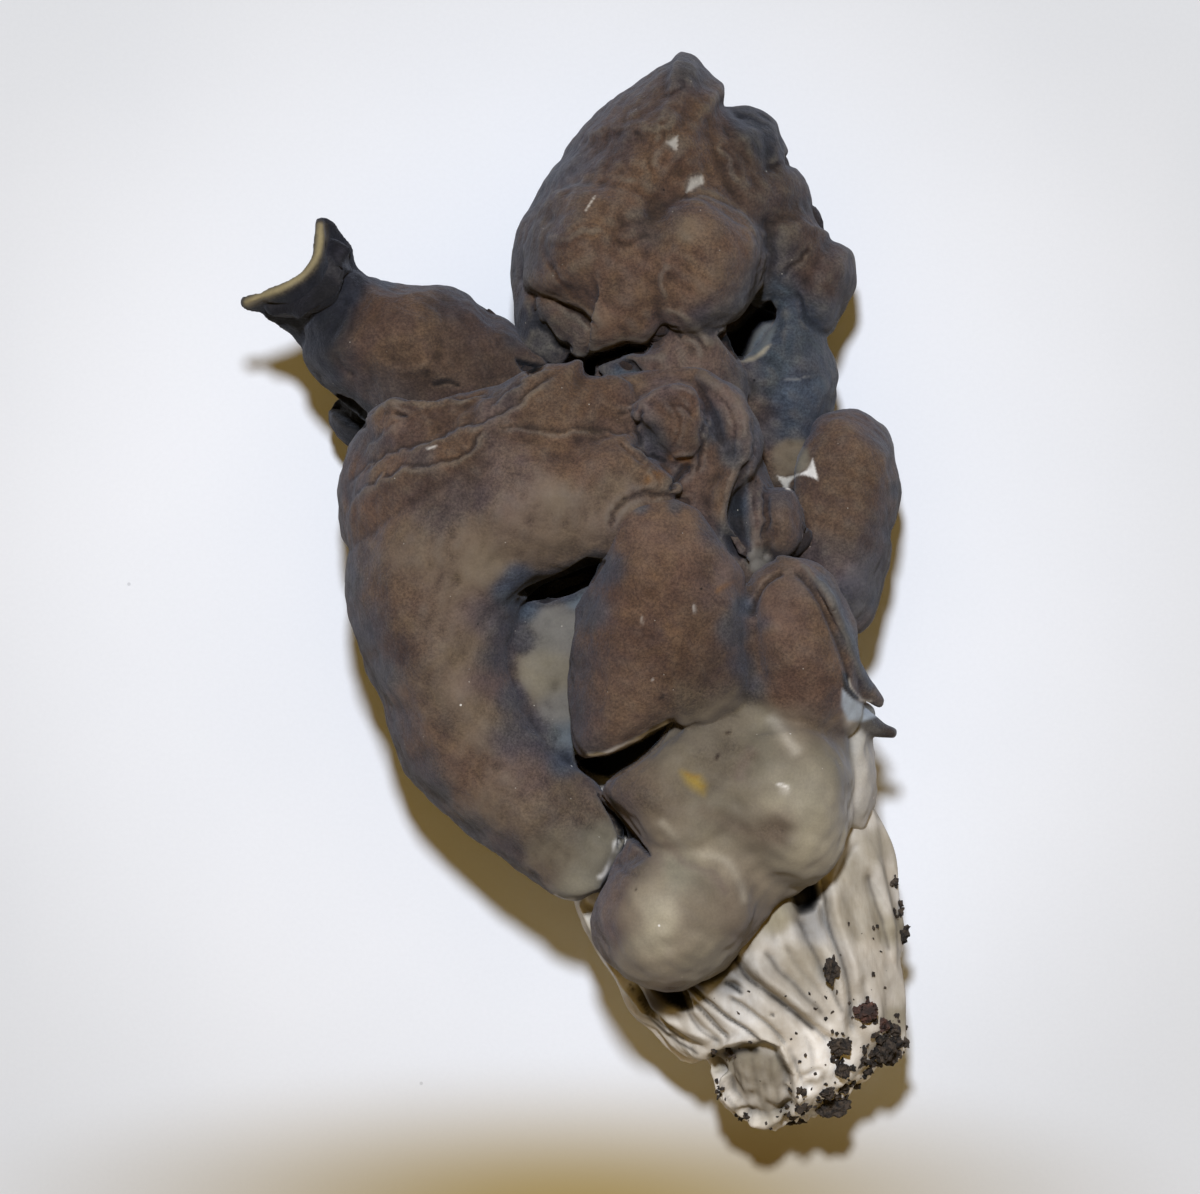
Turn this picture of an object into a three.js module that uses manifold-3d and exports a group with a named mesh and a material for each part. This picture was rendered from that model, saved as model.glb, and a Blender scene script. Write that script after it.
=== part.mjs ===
// Elfin saddle mushroom (Helvella), picked and lying on its side on a table. Millimetres.
// Seen from above, x runs across the cap, y from the stem's foot (-) to the cap's crest (+), z up.
import * as THREE from "three";
import { mergeVertices } from "three/addons/utils/BufferGeometryUtils.js";
import Module from "manifold-3d";

const wasm = await Module();
wasm.setup();

// Driving dimensions
const flesh = 1.4; // thickness of the cap's sheet
const clearance = 0.3; // gap between pieces that touch
const roundness = 0.85; // how full a lobe is between its crown and its edge; 1 is a ball
const outerFacets = [16, 4]; // facets round a lobe's edge, and from its crown to its edge
const innerFacets = [10, 3]; // the same for its hollow
const footRings = 2; // facets from a lobe's edge to the middle of its foot
const floorReach = 8; // the higher, the closer to its rim a hollow's wall starts to drop to its floor
const sheetFacets = [28, 4];
const sheetDish = 1.8; // how late a thin sheet turns up towards its edge
const bandFacets = [12, 20]; // facets round a band's section, and along it
const bandInnerFacets = [8, 14];
const bandFoot = 3; // how far a band's foot sags below its margins
const stemAround = 65; // facets round the stem
const stemSteps = 20; // facets along the stem
const ribs = 13; // flutes round the stem
const ribDepth = 0.13; // how far a flute is cut in, as a share of the radius
const seat = 0.6; // how high the middle of a bit of dirt sits above the stem, as a share of its size
const lumpiness = 0.09; // how rough a bit of dirt is, as a share of its size
const groundSize = 300; // the block that cuts the underside flat

const capMaterial = new THREE.MeshStandardMaterial({ color: 0x5f4f44, roughness: 0.85, metalness: 0 });
const stemMaterial = new THREE.MeshStandardMaterial({ color: 0xb9b1a2, roughness: 0.8, metalness: 0 });
const soilMaterial = new THREE.MeshStandardMaterial({ color: 0x2b231d, roughness: 1, metalness: 0 });
const barkMaterial = new THREE.MeshStandardMaterial({ color: 0x4a2f22, roughness: 0.9, metalness: 0 });

// Domed lobes of the cap: crown is the highest point, edge the free margin or the crease round it.
// curl is how far past the side the margin turns under, in degrees; droop how far it hangs.
// A lobe is hollow with a closed foot, unless it is full (no hollow) or open (no foot).
const domes = [
  { // crest: the tall dome at the far end
    crown: [8, 46, 37], curl: 20, droop: 4,
    edge: [[-6, 31, 22], [-7.5, 38, 18], [-7, 44, 16], [-4, 50, 15], [0.5, 55.5, 15], [5.5, 60.5, 15],
      [10, 64.5, 17], [13, 65.5, 19], [16, 63.5, 19], [18, 60.5, 19], [20.5, 55, 19], [22.5, 49, 20],
      [23, 42, 20], [21, 35, 21], [15, 31, 23], [5, 29.5, 25]],
  },
  { // left brow of the crest, with the lower free rim
    crown: [2, 40, 40], curl: 25, droop: 2, full: true,
    edge: [[-5.5, 30, 24], [-6.5, 37, 22], [-5.5, 44, 23], [-2, 48.5, 30], [4, 49.5, 33], [9, 47, 35],
      [10.5, 41, 36], [10, 34, 35], [5, 29.5, 31], [-1, 30, 29]],
  },
  { // right brow of the crest
    crown: [15.5, 39.5, 41], curl: 25, droop: 2, full: true,
    edge: [[8, 36, 36], [8, 43, 36], [12, 47.5, 34], [18, 47, 31], [22.5, 43, 26], [22.5, 38, 25],
      [19, 33, 28], [13, 31, 32]],
  },
  { // fold that joins the crest to the knot below it
    crown: [14, 29, 36], curl: 10, droop: 2, full: true,
    edge: [[6, 26, 29], [9, 32, 30], [15, 36, 30], [21, 35, 26], [22, 29, 25], [20, 23, 26],
      [14, 21, 29], [8, 22, 30]],
  },
  { // wing behind the crest, lower
    crown: [24, 47, 28], curl: 15, droop: 2,
    edge: [[15.5, 56, 22], [18.5, 59, 19], [22, 58.5, 18], [25, 55.5, 17], [27, 50.5, 17], [29, 46, 17],
      [31, 42, 18], [29.5, 36, 18], [24, 34, 16], [19, 39, 19], [16, 48, 22]],
  },
  { // tip of that wing
    crown: [30, 37.5, 25.5], curl: 15, droop: 2, full: true,
    edge: [[27, 41.5, 18], [30.5, 43, 17], [33.5, 40.5, 16], [33.5, 36.5, 16], [31, 31.5, 15],
      [27, 32.5, 16], [25.5, 37, 18]],
  },
  { // dark fold under the wing
    crown: [26, 25.5, 21], curl: 15, droop: 2, full: true,
    edge: [[20.5, 28, 17], [24.5, 32.5, 16], [30.5, 31.5, 14], [31.5, 26, 13], [30, 20, 13],
      [25, 17.5, 14], [20, 21, 16]],
  },
  { // ear: the long lobe to the left
    crown: [-19, 31, 32], curl: 20, droop: 4,
    edge: [[-29.5, 31.5, 21], [-26.5, 36.5, 21], [-21, 38, 19], [-15, 37, 19], [-9, 33, 21],
      [-3, 28, 26], [-5, 22, 27], [-14, 20, 27], [-22, 20, 24], [-27.5, 23.5, 18], [-30, 28, 18]],
  },
  { // small dark fold under the ear
    crown: [-26, 21.5, 16], curl: 10, droop: 2, full: true,
    edge: [[-29.5, 23.5, 9], [-26, 25, 12], [-22, 23, 14], [-21.5, 19, 12], [-26, 18, 8], [-29, 20, 8]],
  },
  { // lower terrace of the left shoulder
    crown: [-14.5, 16, 38], curl: 15, droop: 2,
    edge: [[-27.5, 7, 20], [-28.5, 12, 19], [-27, 17.5, 22], [-23.5, 22, 28], [-20, 23.5, 32],
      [-13, 24.5, 33], [-6, 25.5, 34], [-1.5, 21, 34], [-3, 11, 34], [-14.5, 5, 32], [-23, 3, 26]],
  },
  { // upper terrace of the left shoulder
    crown: [-8, 15, 41.5], curl: 10, droop: 1, full: true,
    edge: [[-27, 6, 24], [-26.5, 13, 28], [-21, 18, 32], [-13, 21, 34], [-7, 25, 36], [-1, 27.5, 36],
      [3, 27, 36], [8, 21, 35], [8, 10, 35], [-1.5, 4, 35], [-14.5, 1, 33], [-23, 1, 28]],
  },
  { // base of the knot of folds in the middle
    crown: [13, 17, 39], curl: 10, droop: 1, full: true,
    edge: [[2, 24, 32], [8, 28, 32], [14, 28, 31], [19.5, 25, 29], [22, 19, 28], [24.5, 11, 28],
      [25, 3, 29], [18, 0, 34], [9, 4, 34], [3, 12, 34]],
  },
  { // knob at the knot's far side
    crown: [12, 20.5, 42.2], curl: 10, droop: 1, full: true,
    edge: [[8.5, 19, 37], [7, 22, 38], [12, 25.4, 38], [15.6, 22.5, 37], [15.4, 18, 36], [12.5, 16.2, 37]],
  },
  { // two small bulges between the knot and the right side
    crown: [22.2, 9.5, 36.6], curl: 10, droop: 1, full: true,
    edge: [[20.6, 12, 33], [22, 14.5, 33], [23.4, 10, 33], [22.6, 5, 33], [20.8, 5.5, 34]],
  },
  {
    crown: [24.9, 8.6, 37.5], curl: 10, droop: 1, full: true,
    edge: [[23, 12.2, 32], [25.6, 13.2, 31], [27.2, 9, 30], [26.4, 5, 31], [23.4, 5.4, 33]],
  },
  { // middle lobe, torn open along its near edge
    crown: [10.5, -3.5, 47], curl: 15, droop: 3, open: true,
    edge: [[3.5, 5, 38], [8, 11, 40], [13, 11.5, 40], [17.5, 7, 39], [21, 0.5, 37], [22, -6, 36],
      [20.5, -13, 36], [14, -17.5, 39], [6, -19.5, 39], [1, -19, 36], [-0.5, -12, 32], [0, -4, 32],
      [2, 2, 35]],
  },
  { // pale inner sheet behind the middle lobe
    crown: [-1.5, -9, 31.5], curl: 5, droop: 1, open: true,
    edge: [[-10, -3, 26], [-4, 0.5, 27], [3, 2, 28], [9, -3, 30], [8, -14, 30], [2, -19, 28],
      [-5, -20, 26], [-12, -12, 26]],
  },
  { // right cheek
    crown: [27, -5.5, 43], curl: 20, droop: 3,
    edge: [[24, 4.5, 33], [29.5, 4, 33], [33.5, -3, 30], [34.5, -9.5, 28], [34, -15, 29],
      [28, -18, 33], [20, -14, 34], [19, -6, 34], [20, 1, 34]],
  },
  { // right side lobe, low beside the cheek
    crown: [33.5, 10, 31], curl: 25, droop: 4,
    edge: [[28.5, 20.5, 22], [32, 22.5, 19], [36, 22, 17], [38.5, 17.5, 15], [39.5, 11, 13],
      [38, 4, 12], [36.5, -2.5, 13], [33, -3, 18], [29, 3, 24], [28, 11, 24]],
  },
  { // apron: the pale near part of the cap, hanging over the stem
    crown: [18, -26, 41.5], curl: 20, droop: 4,
    edge: [[3.5, -23, 34], [9, -18, 37], [15, -12, 37], [23, -11, 37], [31, -14.5, 32], [33.5, -22.5, 28],
      [32.5, -30, 27], [27, -35.5, 28], [22, -40.5, 28], [16, -46, 27], [9, -47, 27], [3.5, -43, 26],
      [2, -37.5, 26], [4.5, -30, 32]],
  },
  { // its three bulges
    crown: [12, -23.5, 43.5], curl: 0, droop: 1, full: true,
    edge: [[4, -24, 35], [9, -18.5, 37], [15, -14, 37], [20, -17, 38], [21.5, -25, 38], [16, -31, 37],
      [8, -30, 35]],
  },
  {
    crown: [26, -24, 44.5], curl: 0, droop: 1, full: true,
    edge: [[18, -22.5, 38], [20, -16.5, 38], [26, -14.5, 36], [31.5, -17, 32], [33, -23, 29],
      [32, -30, 28], [27.5, -34.5, 29], [21, -31, 36]],
  },
  {
    crown: [12, -37.5, 44], curl: 0, droop: 1, full: true,
    edge: [[5, -32, 33], [12, -29.5, 36], [19, -32.5, 36], [22.5, -37, 31], [19.5, -42, 29],
      [14.5, -46, 28], [9, -46.5, 28], [4, -43, 27], [2.5, -37.5, 28]],
  },
  { // white flap beside the apron
    crown: [33.5, -20, 31], curl: 10, droop: 1, full: true,
    edge: [[32, -13, 27], [35.5, -11.5, 21], [37.5, -16, 19], [37, -24, 18], [34.5, -28.5, 19],
      [30, -27, 26], [29, -19, 28]],
  },
  { // underside, left: the side that the mushroom lies on
    crown: [-15, 3, -0.8], curl: 5, droop: 1,
    edge: [[-27, 10, 20], [-27.5, -2, 18], [-24, -12, 18], [-19.5, -21.5, 18], [-12, -29, 20],
      [-3, -33, 22], [5, -30, 22], [4, -12, 20], [-1.5, 5, 20], [-10, 17, 22], [-22, 17, 22]],
  },
  { // underside, right
    crown: [27, 8, -0.8], curl: 5, droop: 1,
    edge: [[22.5, 25, 17], [30, 22.5, 16], [37, 20, 14], [39, 10, 12], [37.5, -1, 13], [34, -9.5, 18],
      [31, -16.5, 20], [24, -19, 20], [14, -12, 18], [11, 5, 18], [14, 22, 18]],
  },
  { // underside of the crest
    crown: [13, 39, -0.8], curl: 5, droop: 1,
    edge: [[-5.5, 30, 20], [-6, 42, 16], [0, 53.5, 15], [9.5, 62.5, 16], [16.5, 60, 17], [26, 50, 16],
      [31.5, 39, 15], [30.5, 29, 14], [23, 18.5, 15], [11, 16, 17], [-1, 22, 18]],
  },
  { // underside of the ear
    crown: [-19, 29, 9], curl: 5, droop: 1,
    edge: [[-29, 30, 19], [-26, 35.5, 20], [-20, 37, 19], [-12, 35, 20], [-5, 29, 22], [-5, 22, 22],
      [-14, 18, 20], [-24, 19, 18], [-29, 25, 17]],
  },
];

// The ear's flared mouth: a thin sheet that turns up towards its two tips.
const flare = {
  crown: [-29.5, 35.5, 23],
  edge: [[-40, 35, 25], [-36.5, 36.5, 28], [-33, 38.5, 30], [-31, 41, 30], [-30, 43.5, 28.5],
    [-29.8, 45.5, 25], [-27.5, 41, 21], [-24.5, 37.5, 20], [-23, 33, 23], [-26, 28.5, 20],
    [-31, 29.5, 17], [-33.5, 32, 19], [-37, 33.5, 22]],
};

// Long lobes: left and right margins from one end to the other, and the crown's height between them.
const bands = [
  { // the big left lobe, from the shoulder round to its tip beside the apron
    left: [[13, 13, 39], [6, 19, 37], [-3, 20, 36], [-12, 19.5, 35], [-22, 12.5, 29], [-27, 4, 22],
      [-27, -4, 19], [-23.5, -13.5, 18], [-18, -24, 18], [-9, -31.5, 20], [-1, -36, 23], [3, -35, 27]],
    right: [[13, 13, 39], [9, 6, 37], [2, 3.5, 34], [-3.5, 1.5, 31], [-7.5, -2.5, 29],
      [-8, -9.5, 28], [-5, -16.5, 28], [1, -22, 29], [5, -27, 29], [5.5, -31, 28], [3, -35, 27]],
    crown: [41, 44, 44, 43, 41, 40, 39, 37, 35, 32],
  },
  { // fold that runs from the knot down to the cheek
    full: true,
    left: [[14, 27.5, 34], [18, 26, 33], [21, 21.5, 31], [21.5, 16, 31], [19, 10, 34], [21, 4, 36]],
    right: [[14, 27.5, 34], [15.5, 24, 36], [18, 20, 37], [17.5, 15, 37], [16.5, 10, 38], [21, 4, 36]],
    crown: [37, 41, 41, 41, 40, 39],
  },
  { // thin ridge over the cheek, ending in a free tip
    full: true,
    left: [[24, 6, 33], [28, 4.5, 32], [31.5, -1, 32], [34.5, -7, 31], [37.5, -13.5, 29]],
    right: [[24, 6, 33], [26.5, 2.5, 37], [29.5, -2.5, 37], [32.5, -9, 35], [37.5, -13.5, 29]],
    crown: [36, 39, 39, 37, 31],
  },
];

// Stem: the middle of each section, and its half width and half height there.
const stemSections = [
  { at: [27.5, -64.5, 9], half: [4, 4] },
  { at: [27, -61, 10.5], half: [9, 9.5] },
  { at: [26.5, -55, 12], half: [12.5, 12.5] },
  { at: [24.5, -48, 13.5], half: [15, 13.5] },
  { at: [21, -38, 15.5], half: [18.2, 14] },
  { at: [18, -28, 17.5], half: [17.5, 14] },
  { at: [15, -16, 19], half: [14.5, 13] },
  { at: [12.5, -5, 20], half: [9, 9] },
  { at: [12, 0, 20], half: [2, 2] },
];

// The plane along which the foot tore from the ground.
const tornFace = { at: [21.5, -58.5, 16], facing: [-0.42, -0.62, 0.66] };

// Dirt stuck to the foot: where it sits, its half size, its turn, and what it is. Where no height z
// is given, the bit lies on top of the stem.
const dirt = [
  { name: "soil_crumb_1", x: 30.6, y: -44.5, size: [1.1, 1.7, 0.9], turn: 0.5, seed: 1 },
  { name: "soil_crumb_2", x: 31.6, y: -53.6, size: [1.5, 1.2, 1], turn: 0.2, seed: 2 },
  { name: "soil_crumb_3", x: 32, y: -56.6, size: [1.1, 1, 0.8], turn: 1.2, seed: 3 },
  { name: "soil_crumb_4", x: 30.4, y: -59.3, size: [1.1, 0.9, 0.8], turn: 2, seed: 4 },
  { name: "soil_clod_1", x: 36, y: -54, size: [2.4, 1.7, 1.3], turn: 0.3, seed: 5 },
  { name: "soil_clod_2", x: 31.2, y: -61.2, size: [2, 1.3, 1.1], turn: 0.5, seed: 6 },
  { name: "soil_clod_3", x: 26.4, y: -64, z: 8.5, size: [2.1, 1.3, 1.3], turn: 0.2, seed: 9 },
  { name: "bark_chip_1", x: 34.8, y: -49.5, size: [1.4, 1.5, 0.6], turn: 0.8, seed: 7, bark: true },
  { name: "bark_chip_2", x: 36.6, y: -51.4, size: [1.5, 0.9, 0.6], turn: 0.1, seed: 8, bark: true },
];

// A curve through hand-set points, closed or open.
function curve(points, closed) {
  const vectors = points.map((point) => new THREE.Vector3(...point));
  return new THREE.CatmullRomCurve3(vectors, closed, "centripetal");
}

// A unit ball with its poles on z and its shared vertices merged, ready to be pushed into shape.
function ball(segments, rings) {
  const sphere = new THREE.SphereGeometry(1, segments, rings);
  sphere.rotateX(Math.PI / 2);
  return bare(sphere);
}

function bare(geometry) {
  geometry.deleteAttribute("normal");
  geometry.deleteAttribute("uv");
  return mergeVertices(geometry, 1e-4);
}

// Moves every vertex of a geometry to where place(vertex) says.
function reshape(geometry, place) {
  const positions = geometry.attributes.position;
  const vertex = new THREE.Vector3();
  for (let i = 0; i < positions.count; i += 1) {
    vertex.fromBufferAttribute(positions, i);
    positions.setXYZ(i, ...place(vertex).toArray());
  }
  return geometry;
}

function signedVolume(geometry) {
  const [a, b, c] = [new THREE.Vector3(), new THREE.Vector3(), new THREE.Vector3()];
  const { position } = geometry.attributes;
  let total = 0;
  for (let i = 0; i < geometry.index.count; i += 3) {
    a.fromBufferAttribute(position, geometry.index.getX(i));
    b.fromBufferAttribute(position, geometry.index.getX(i + 1));
    c.fromBufferAttribute(position, geometry.index.getX(i + 2));
    total += a.dot(b.cross(c)) / 6;
  }
  return total;
}

// A closed geometry as a solid for joining and cutting, its faces turned out if they point in.
function solid(geometry) {
  const triVerts = Uint32Array.from(geometry.index.array);
  if (signedVolume(geometry) < 0) {
    for (let i = 0; i < triVerts.length; i += 3) {
      [triVerts[i], triVerts[i + 1]] = [triVerts[i + 1], triVerts[i]];
    }
  }
  const vertProperties = Float32Array.from(geometry.attributes.position.array);
  return new wasm.Manifold(new wasm.Mesh({ numProp: 3, vertProperties, triVerts }));
}

// The geometry of a solid's largest skin: a sealed pocket inside it is left filled.
function skin(body) {
  const { vertProperties, triVerts } = body.getMesh();
  const parent = Array.from({ length: vertProperties.length / 3 }, (_, i) => i);
  const root = (i) => {
    let top = i;
    while (parent[top] !== top) top = parent[top];
    parent[i] = top;
    return top;
  };
  for (let i = 0; i < triVerts.length; i += 3) {
    parent[root(triVerts[i + 1])] = root(triVerts[i]);
    parent[root(triVerts[i + 2])] = root(triVerts[i]);
  }
  const groups = new Map();
  for (let i = 0; i < triVerts.length; i += 3) {
    const key = root(triVerts[i]);
    if (!groups.has(key)) groups.set(key, []);
    groups.get(key).push(triVerts[i], triVerts[i + 1], triVerts[i + 2]);
  }
  const skins = [...groups.values()].map((index) => {
    const geometry = new THREE.BufferGeometry();
    geometry.setAttribute("position", new THREE.BufferAttribute(Float32Array.from(vertProperties), 3));
    geometry.setIndex(index);
    return geometry;
  });
  return skins.reduce((best, next) => (signedVolume(next) > signedVolume(best) ? next : best));
}

// A solid dome: its rings run from the crown down to the margin and curl under it, then straight
// back across its foot. With depth set it is that much smaller all over, and becomes a hollow.
function dome({ crown, edge, curl, droop }, depth, [segments, steps], openFoot = false) {
  const margin = curve(edge, true);
  const top = new THREE.Vector3(...crown);
  const up = crown[2] > edge[0][2] ? 1 : -1;
  const wrap = THREE.MathUtils.degToRad(90 + curl);
  const rings = steps + footRings;
  return reshape(ball(segments, rings), (vertex) => {
    const turn = (Math.atan2(vertex.y, vertex.x) / (2 * Math.PI) + 1) % 1;
    const ring = Math.round((Math.acos(THREE.MathUtils.clamp(vertex.z, -1, 1)) / Math.PI) * rings);
    const foot = ring > steps;
    const reach = foot ? (rings - ring) / footRings : ring / steps;
    const rim = margin.getPointAt(turn);
    const tilt = foot ? wrap : wrap * reach;
    const shrink = 1 - depth / Math.hypot(rim.x - top.x, rim.y - top.y);
    const out = Math.sin(tilt) * (foot ? reach : 1) * shrink;
    const floor = (openFoot ? flesh : -depth) * (foot ? 1 : reach ** floorReach);
    const hang = droop * Math.max(0, -Math.cos(tilt)) + floor;
    return new THREE.Vector3(
      THREE.MathUtils.lerp(top.x, rim.x, out),
      THREE.MathUtils.lerp(top.y, rim.y, out),
      THREE.MathUtils.lerp(rim.z, top.z - up * depth, Math.max(0, Math.cos(tilt)) ** roundness) - up * hang,
    );
  });
}

// A thin sheet, its lower side straight below its upper one.
function sheet({ crown, edge }) {
  const margin = curve(edge, true);
  const [segments, steps] = sheetFacets;
  const rings = 2 * steps + 1;
  return reshape(ball(segments, rings), (vertex) => {
    const turn = (Math.atan2(vertex.y, vertex.x) / (2 * Math.PI) + 1) % 1;
    const ring = Math.round((Math.acos(THREE.MathUtils.clamp(vertex.z, -1, 1)) / Math.PI) * rings);
    const below = ring > steps;
    const reach = (below ? rings - ring : ring) / steps;
    const rim = margin.getPointAt(turn);
    const place = new THREE.Vector3(...crown).lerp(rim, reach);
    place.z = THREE.MathUtils.lerp(crown[2], rim.z, reach ** sheetDish) - (below ? flesh : 0);
    return place;
  });
}

// A solid long lobe with its poles at its ends; half way round is its upper face, the rest its foot.
function band({ left, right, crown }, depth, [segments, steps]) {
  const [near, far] = [curve(left, false), curve(right, false)];
  const heights = curve(crown.map((height, i) => [i, height, 0]), false);
  return reshape(ball(segments, steps), (vertex) => {
    const along = Math.acos(THREE.MathUtils.clamp(vertex.z, -1, 1)) / Math.PI;
    const turn = Math.atan2(vertex.y, vertex.x);
    const foot = Math.sin(turn) < -1e-6;
    const [a, b] = [near.getPointAt(along), far.getPointAt(along)];
    const inset = Math.min(0.45, depth / Math.max(a.distanceTo(b), flesh));
    const place = a.lerp(b, THREE.MathUtils.lerp(inset, 1 - inset, (1 - Math.cos(turn)) / 2));
    const top = heights.getPoint(along).y - depth;
    const low = place.z - bandFoot * Math.abs(Math.sin(turn)) + depth;
    const rise = Math.max(0, Math.sin(turn)) ** roundness;
    place.z = foot ? low : THREE.MathUtils.lerp(place.z + depth, top, rise);
    return place;
  });
}

// The stem, grown by a margin on every side; it is cut flat where it lies on the table.
function stemBody(margin) {
  const middle = curve(stemSections.map(({ at }) => at), false);
  const halves = curve(stemSections.map(({ half }) => [...half, 0]), false);
  const axis = new THREE.Vector3();
  return reshape(ball(stemAround, stemSteps), (vertex) => {
    const along = Math.acos(THREE.MathUtils.clamp(vertex.z, -1, 1)) / Math.PI;
    const turn = Math.atan2(vertex.y, vertex.x);
    const centre = middle.getPoint(along);
    const half = halves.getPoint(along);
    middle.getTangent(along, axis);
    const side = new THREE.Vector3(-axis.y, axis.x, 0).normalize();
    const round = Math.hypot(vertex.x, vertex.y) > 1e-3 ? 1 : 0;
    const flute = 1 - ribDepth * (1 - Math.abs(Math.cos((ribs * turn) / 2 + along)));
    centre.addScaledVector(side, round * (half.x * flute + margin) * Math.cos(turn));
    centre.z += round * (half.y * flute + margin) * Math.sin(turn);
    return centre;
  });
}

// A rough lump, the same each time for its seed.
function lump({ size, turn, seed }) {
  const rough = bare(new THREE.IcosahedronGeometry(1, 1));
  reshape(rough, (vertex) => {
    const wobble = Math.sin(vertex.x * 5.1 + seed * 1.7) + Math.sin(vertex.y * 6.3 + seed * 2.9)
      + Math.sin(vertex.z * 4.7 + seed * 0.7);
    return vertex.multiplyScalar(1 + lumpiness * wobble).multiply(new THREE.Vector3(...size));
  });
  return rough.rotateZ(turn);
}

// How high a solid's surface is above the point (x, y).
function heightAt(geometry, x, y) {
  const target = new THREE.Mesh(geometry, new THREE.MeshBasicMaterial({ side: THREE.DoubleSide }));
  const down = new THREE.Raycaster(new THREE.Vector3(x, y, groundSize), new THREE.Vector3(0, 0, -1));
  return down.intersectObject(target)[0].point.z;
}

// The half of space that a plane faces.
function beyond({ at, facing }) {
  const block = new THREE.BoxGeometry(groundSize, groundSize, groundSize);
  block.translate(0, 0, groundSize / 2);
  const turn = new THREE.Quaternion();
  turn.setFromUnitVectors(new THREE.Vector3(0, 0, 1), new THREE.Vector3(...facing).normalize());
  block.applyQuaternion(turn).translate(...at);
  return solid(bare(block));
}

function piece(name, body, material) {
  const mesh = new THREE.Mesh(skin(body), material);
  mesh.name = name;
  return mesh;
}

const group = new THREE.Group();
const aboveTable = beyond({ at: [0, 0, 0], facing: [0, 0, 1] });

const stemGeometry = stemBody(0);
const stem = solid(stemGeometry).intersect(aboveTable).subtract(beyond(tornFace));
group.add(piece("stem", stem, stemMaterial));

const aroundStem = solid(stemBody(clearance));
const join = (solids) => solids.reduce((joined, next) => joined.add(next));
const openLobes = domes.filter(({ open }) => open);
const closedLobes = domes.filter(({ open }) => !open);
const outside = join([
  ...closedLobes.map((lobe) => solid(dome(lobe, 0, outerFacets))),
  ...bands.map((lobe) => solid(band(lobe, 0, bandFacets))),
]);
const inside = join([
  ...closedLobes.filter(({ full }) => !full).map((lobe) => solid(dome(lobe, flesh, innerFacets))),
  ...bands.filter(({ full }) => !full).map((lobe) => solid(band(lobe, flesh, bandInnerFacets))),
]);
const flaps = join([
  ...openLobes.map((lobe) => {
    const hollow = solid(dome(lobe, flesh, innerFacets, true));
    return solid(dome(lobe, 0, outerFacets)).subtract(hollow);
  }),
  solid(sheet(flare)),
]);
const cap = outside.subtract(inside).add(flaps);
group.add(piece("cap", cap.subtract(aroundStem).intersect(aboveTable), capMaterial));

for (const bit of dirt) {
  const shape = lump(bit);
  const height = bit.z ?? heightAt(stemGeometry, bit.x, bit.y) + seat * bit.size[2];
  shape.translate(bit.x, bit.y, height);
  group.add(piece(bit.name, solid(shape).subtract(aroundStem), bit.bark ? barkMaterial : soilMaterial));
}

// The origin goes under the middle of the whole mushroom, on the table.
const box = new THREE.Box3().setFromObject(group);
const centre = box.getCenter(new THREE.Vector3());
group.position.set(-centre.x, -centre.y, -box.min.z);

export default group;
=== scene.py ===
import math

import bmesh
import bpy
import numpy as np
from mathutils import Matrix, Vector
from mathutils.bvhtree import BVHTree


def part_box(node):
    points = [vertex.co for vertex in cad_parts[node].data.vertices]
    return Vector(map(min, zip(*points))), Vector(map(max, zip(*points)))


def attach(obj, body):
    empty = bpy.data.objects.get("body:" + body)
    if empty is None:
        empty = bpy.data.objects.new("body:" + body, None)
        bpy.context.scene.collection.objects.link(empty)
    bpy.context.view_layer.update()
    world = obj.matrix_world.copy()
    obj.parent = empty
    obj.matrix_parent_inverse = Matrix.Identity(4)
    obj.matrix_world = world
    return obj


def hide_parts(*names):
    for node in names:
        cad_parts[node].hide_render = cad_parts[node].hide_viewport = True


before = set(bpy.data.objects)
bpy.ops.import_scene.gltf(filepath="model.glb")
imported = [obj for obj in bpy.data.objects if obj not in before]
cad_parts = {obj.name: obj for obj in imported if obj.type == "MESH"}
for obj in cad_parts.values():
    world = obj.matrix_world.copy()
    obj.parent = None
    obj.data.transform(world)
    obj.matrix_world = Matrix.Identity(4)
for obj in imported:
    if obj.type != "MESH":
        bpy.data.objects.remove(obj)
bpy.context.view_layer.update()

millimetre = 0.001
aboveAll = 0.2  # a height over everything, in metres
tableGap = 0.02  # the lowest skin's height over the table, in millimetres
scene = bpy.context.scene

# Shapes are given in millimetres round the mushroom's own middle; the frame says where that is.
earTipX = -40.0
footY = -64.5
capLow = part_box("cap")[0]
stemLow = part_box("stem")[0]
origin = np.array([capLow[0] / millimetre - earTipX, stemLow[1] / millimetre - footY, 0.0])

# Colours as they look in daylight, 0 to 255. Where they are used, the darkest brown and the black paint shade in
# creases, gaps and hollows as well as dark crumbs, specks and streaks, the dusky blue paints shade on steep slopes,
# and some pale ones paint highlights.
colours = {
    "umber": (97, 77, 63), "rust": (90, 69, 54), "darkUmber": (78, 62, 53), "plum": (77, 67, 65),
    "tan": (106, 91, 76), "paleTan": (118, 105, 88), "olive": (128, 120, 102), "cream": (176, 167, 149),
    "bone": (206, 198, 184), "chalk": (232, 227, 218), "stone": (166, 164, 160),
    "mauve": (100, 84, 77), "slate": (66, 76, 89), "steel": (84, 98, 112), "lead": (72, 71, 76),
    "deepSlate": (42, 46, 57), "ink": (30, 32, 40), "pearl": (112, 108, 101), "mist": (98, 106, 112),
    "rim": (160, 146, 108), "yellow": (156, 130, 44), "amber": (128, 88, 40), "shadeAndMarkBlack": (10, 9, 9),
    "shadeAndMarkBrown": (50, 40, 30), "moss": (142, 136, 118), "straw": (164, 155, 134), "slopeShadeBlue": (45, 41, 47),
    "clay": (124, 113, 95), "fawn": (138, 127, 108), "ice": (172, 182, 192),
}


def linear(name):
    # a colour's light values, as a material wants them
    shares = np.array(colours[name]) / 255
    return np.where(shares > 0.04045, ((shares + 0.055) / 1.055) ** 2.4, shares / 12.92)


def tone(name, factor=1.0):
    return (*(linear(name) * factor), 1.0)


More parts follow.
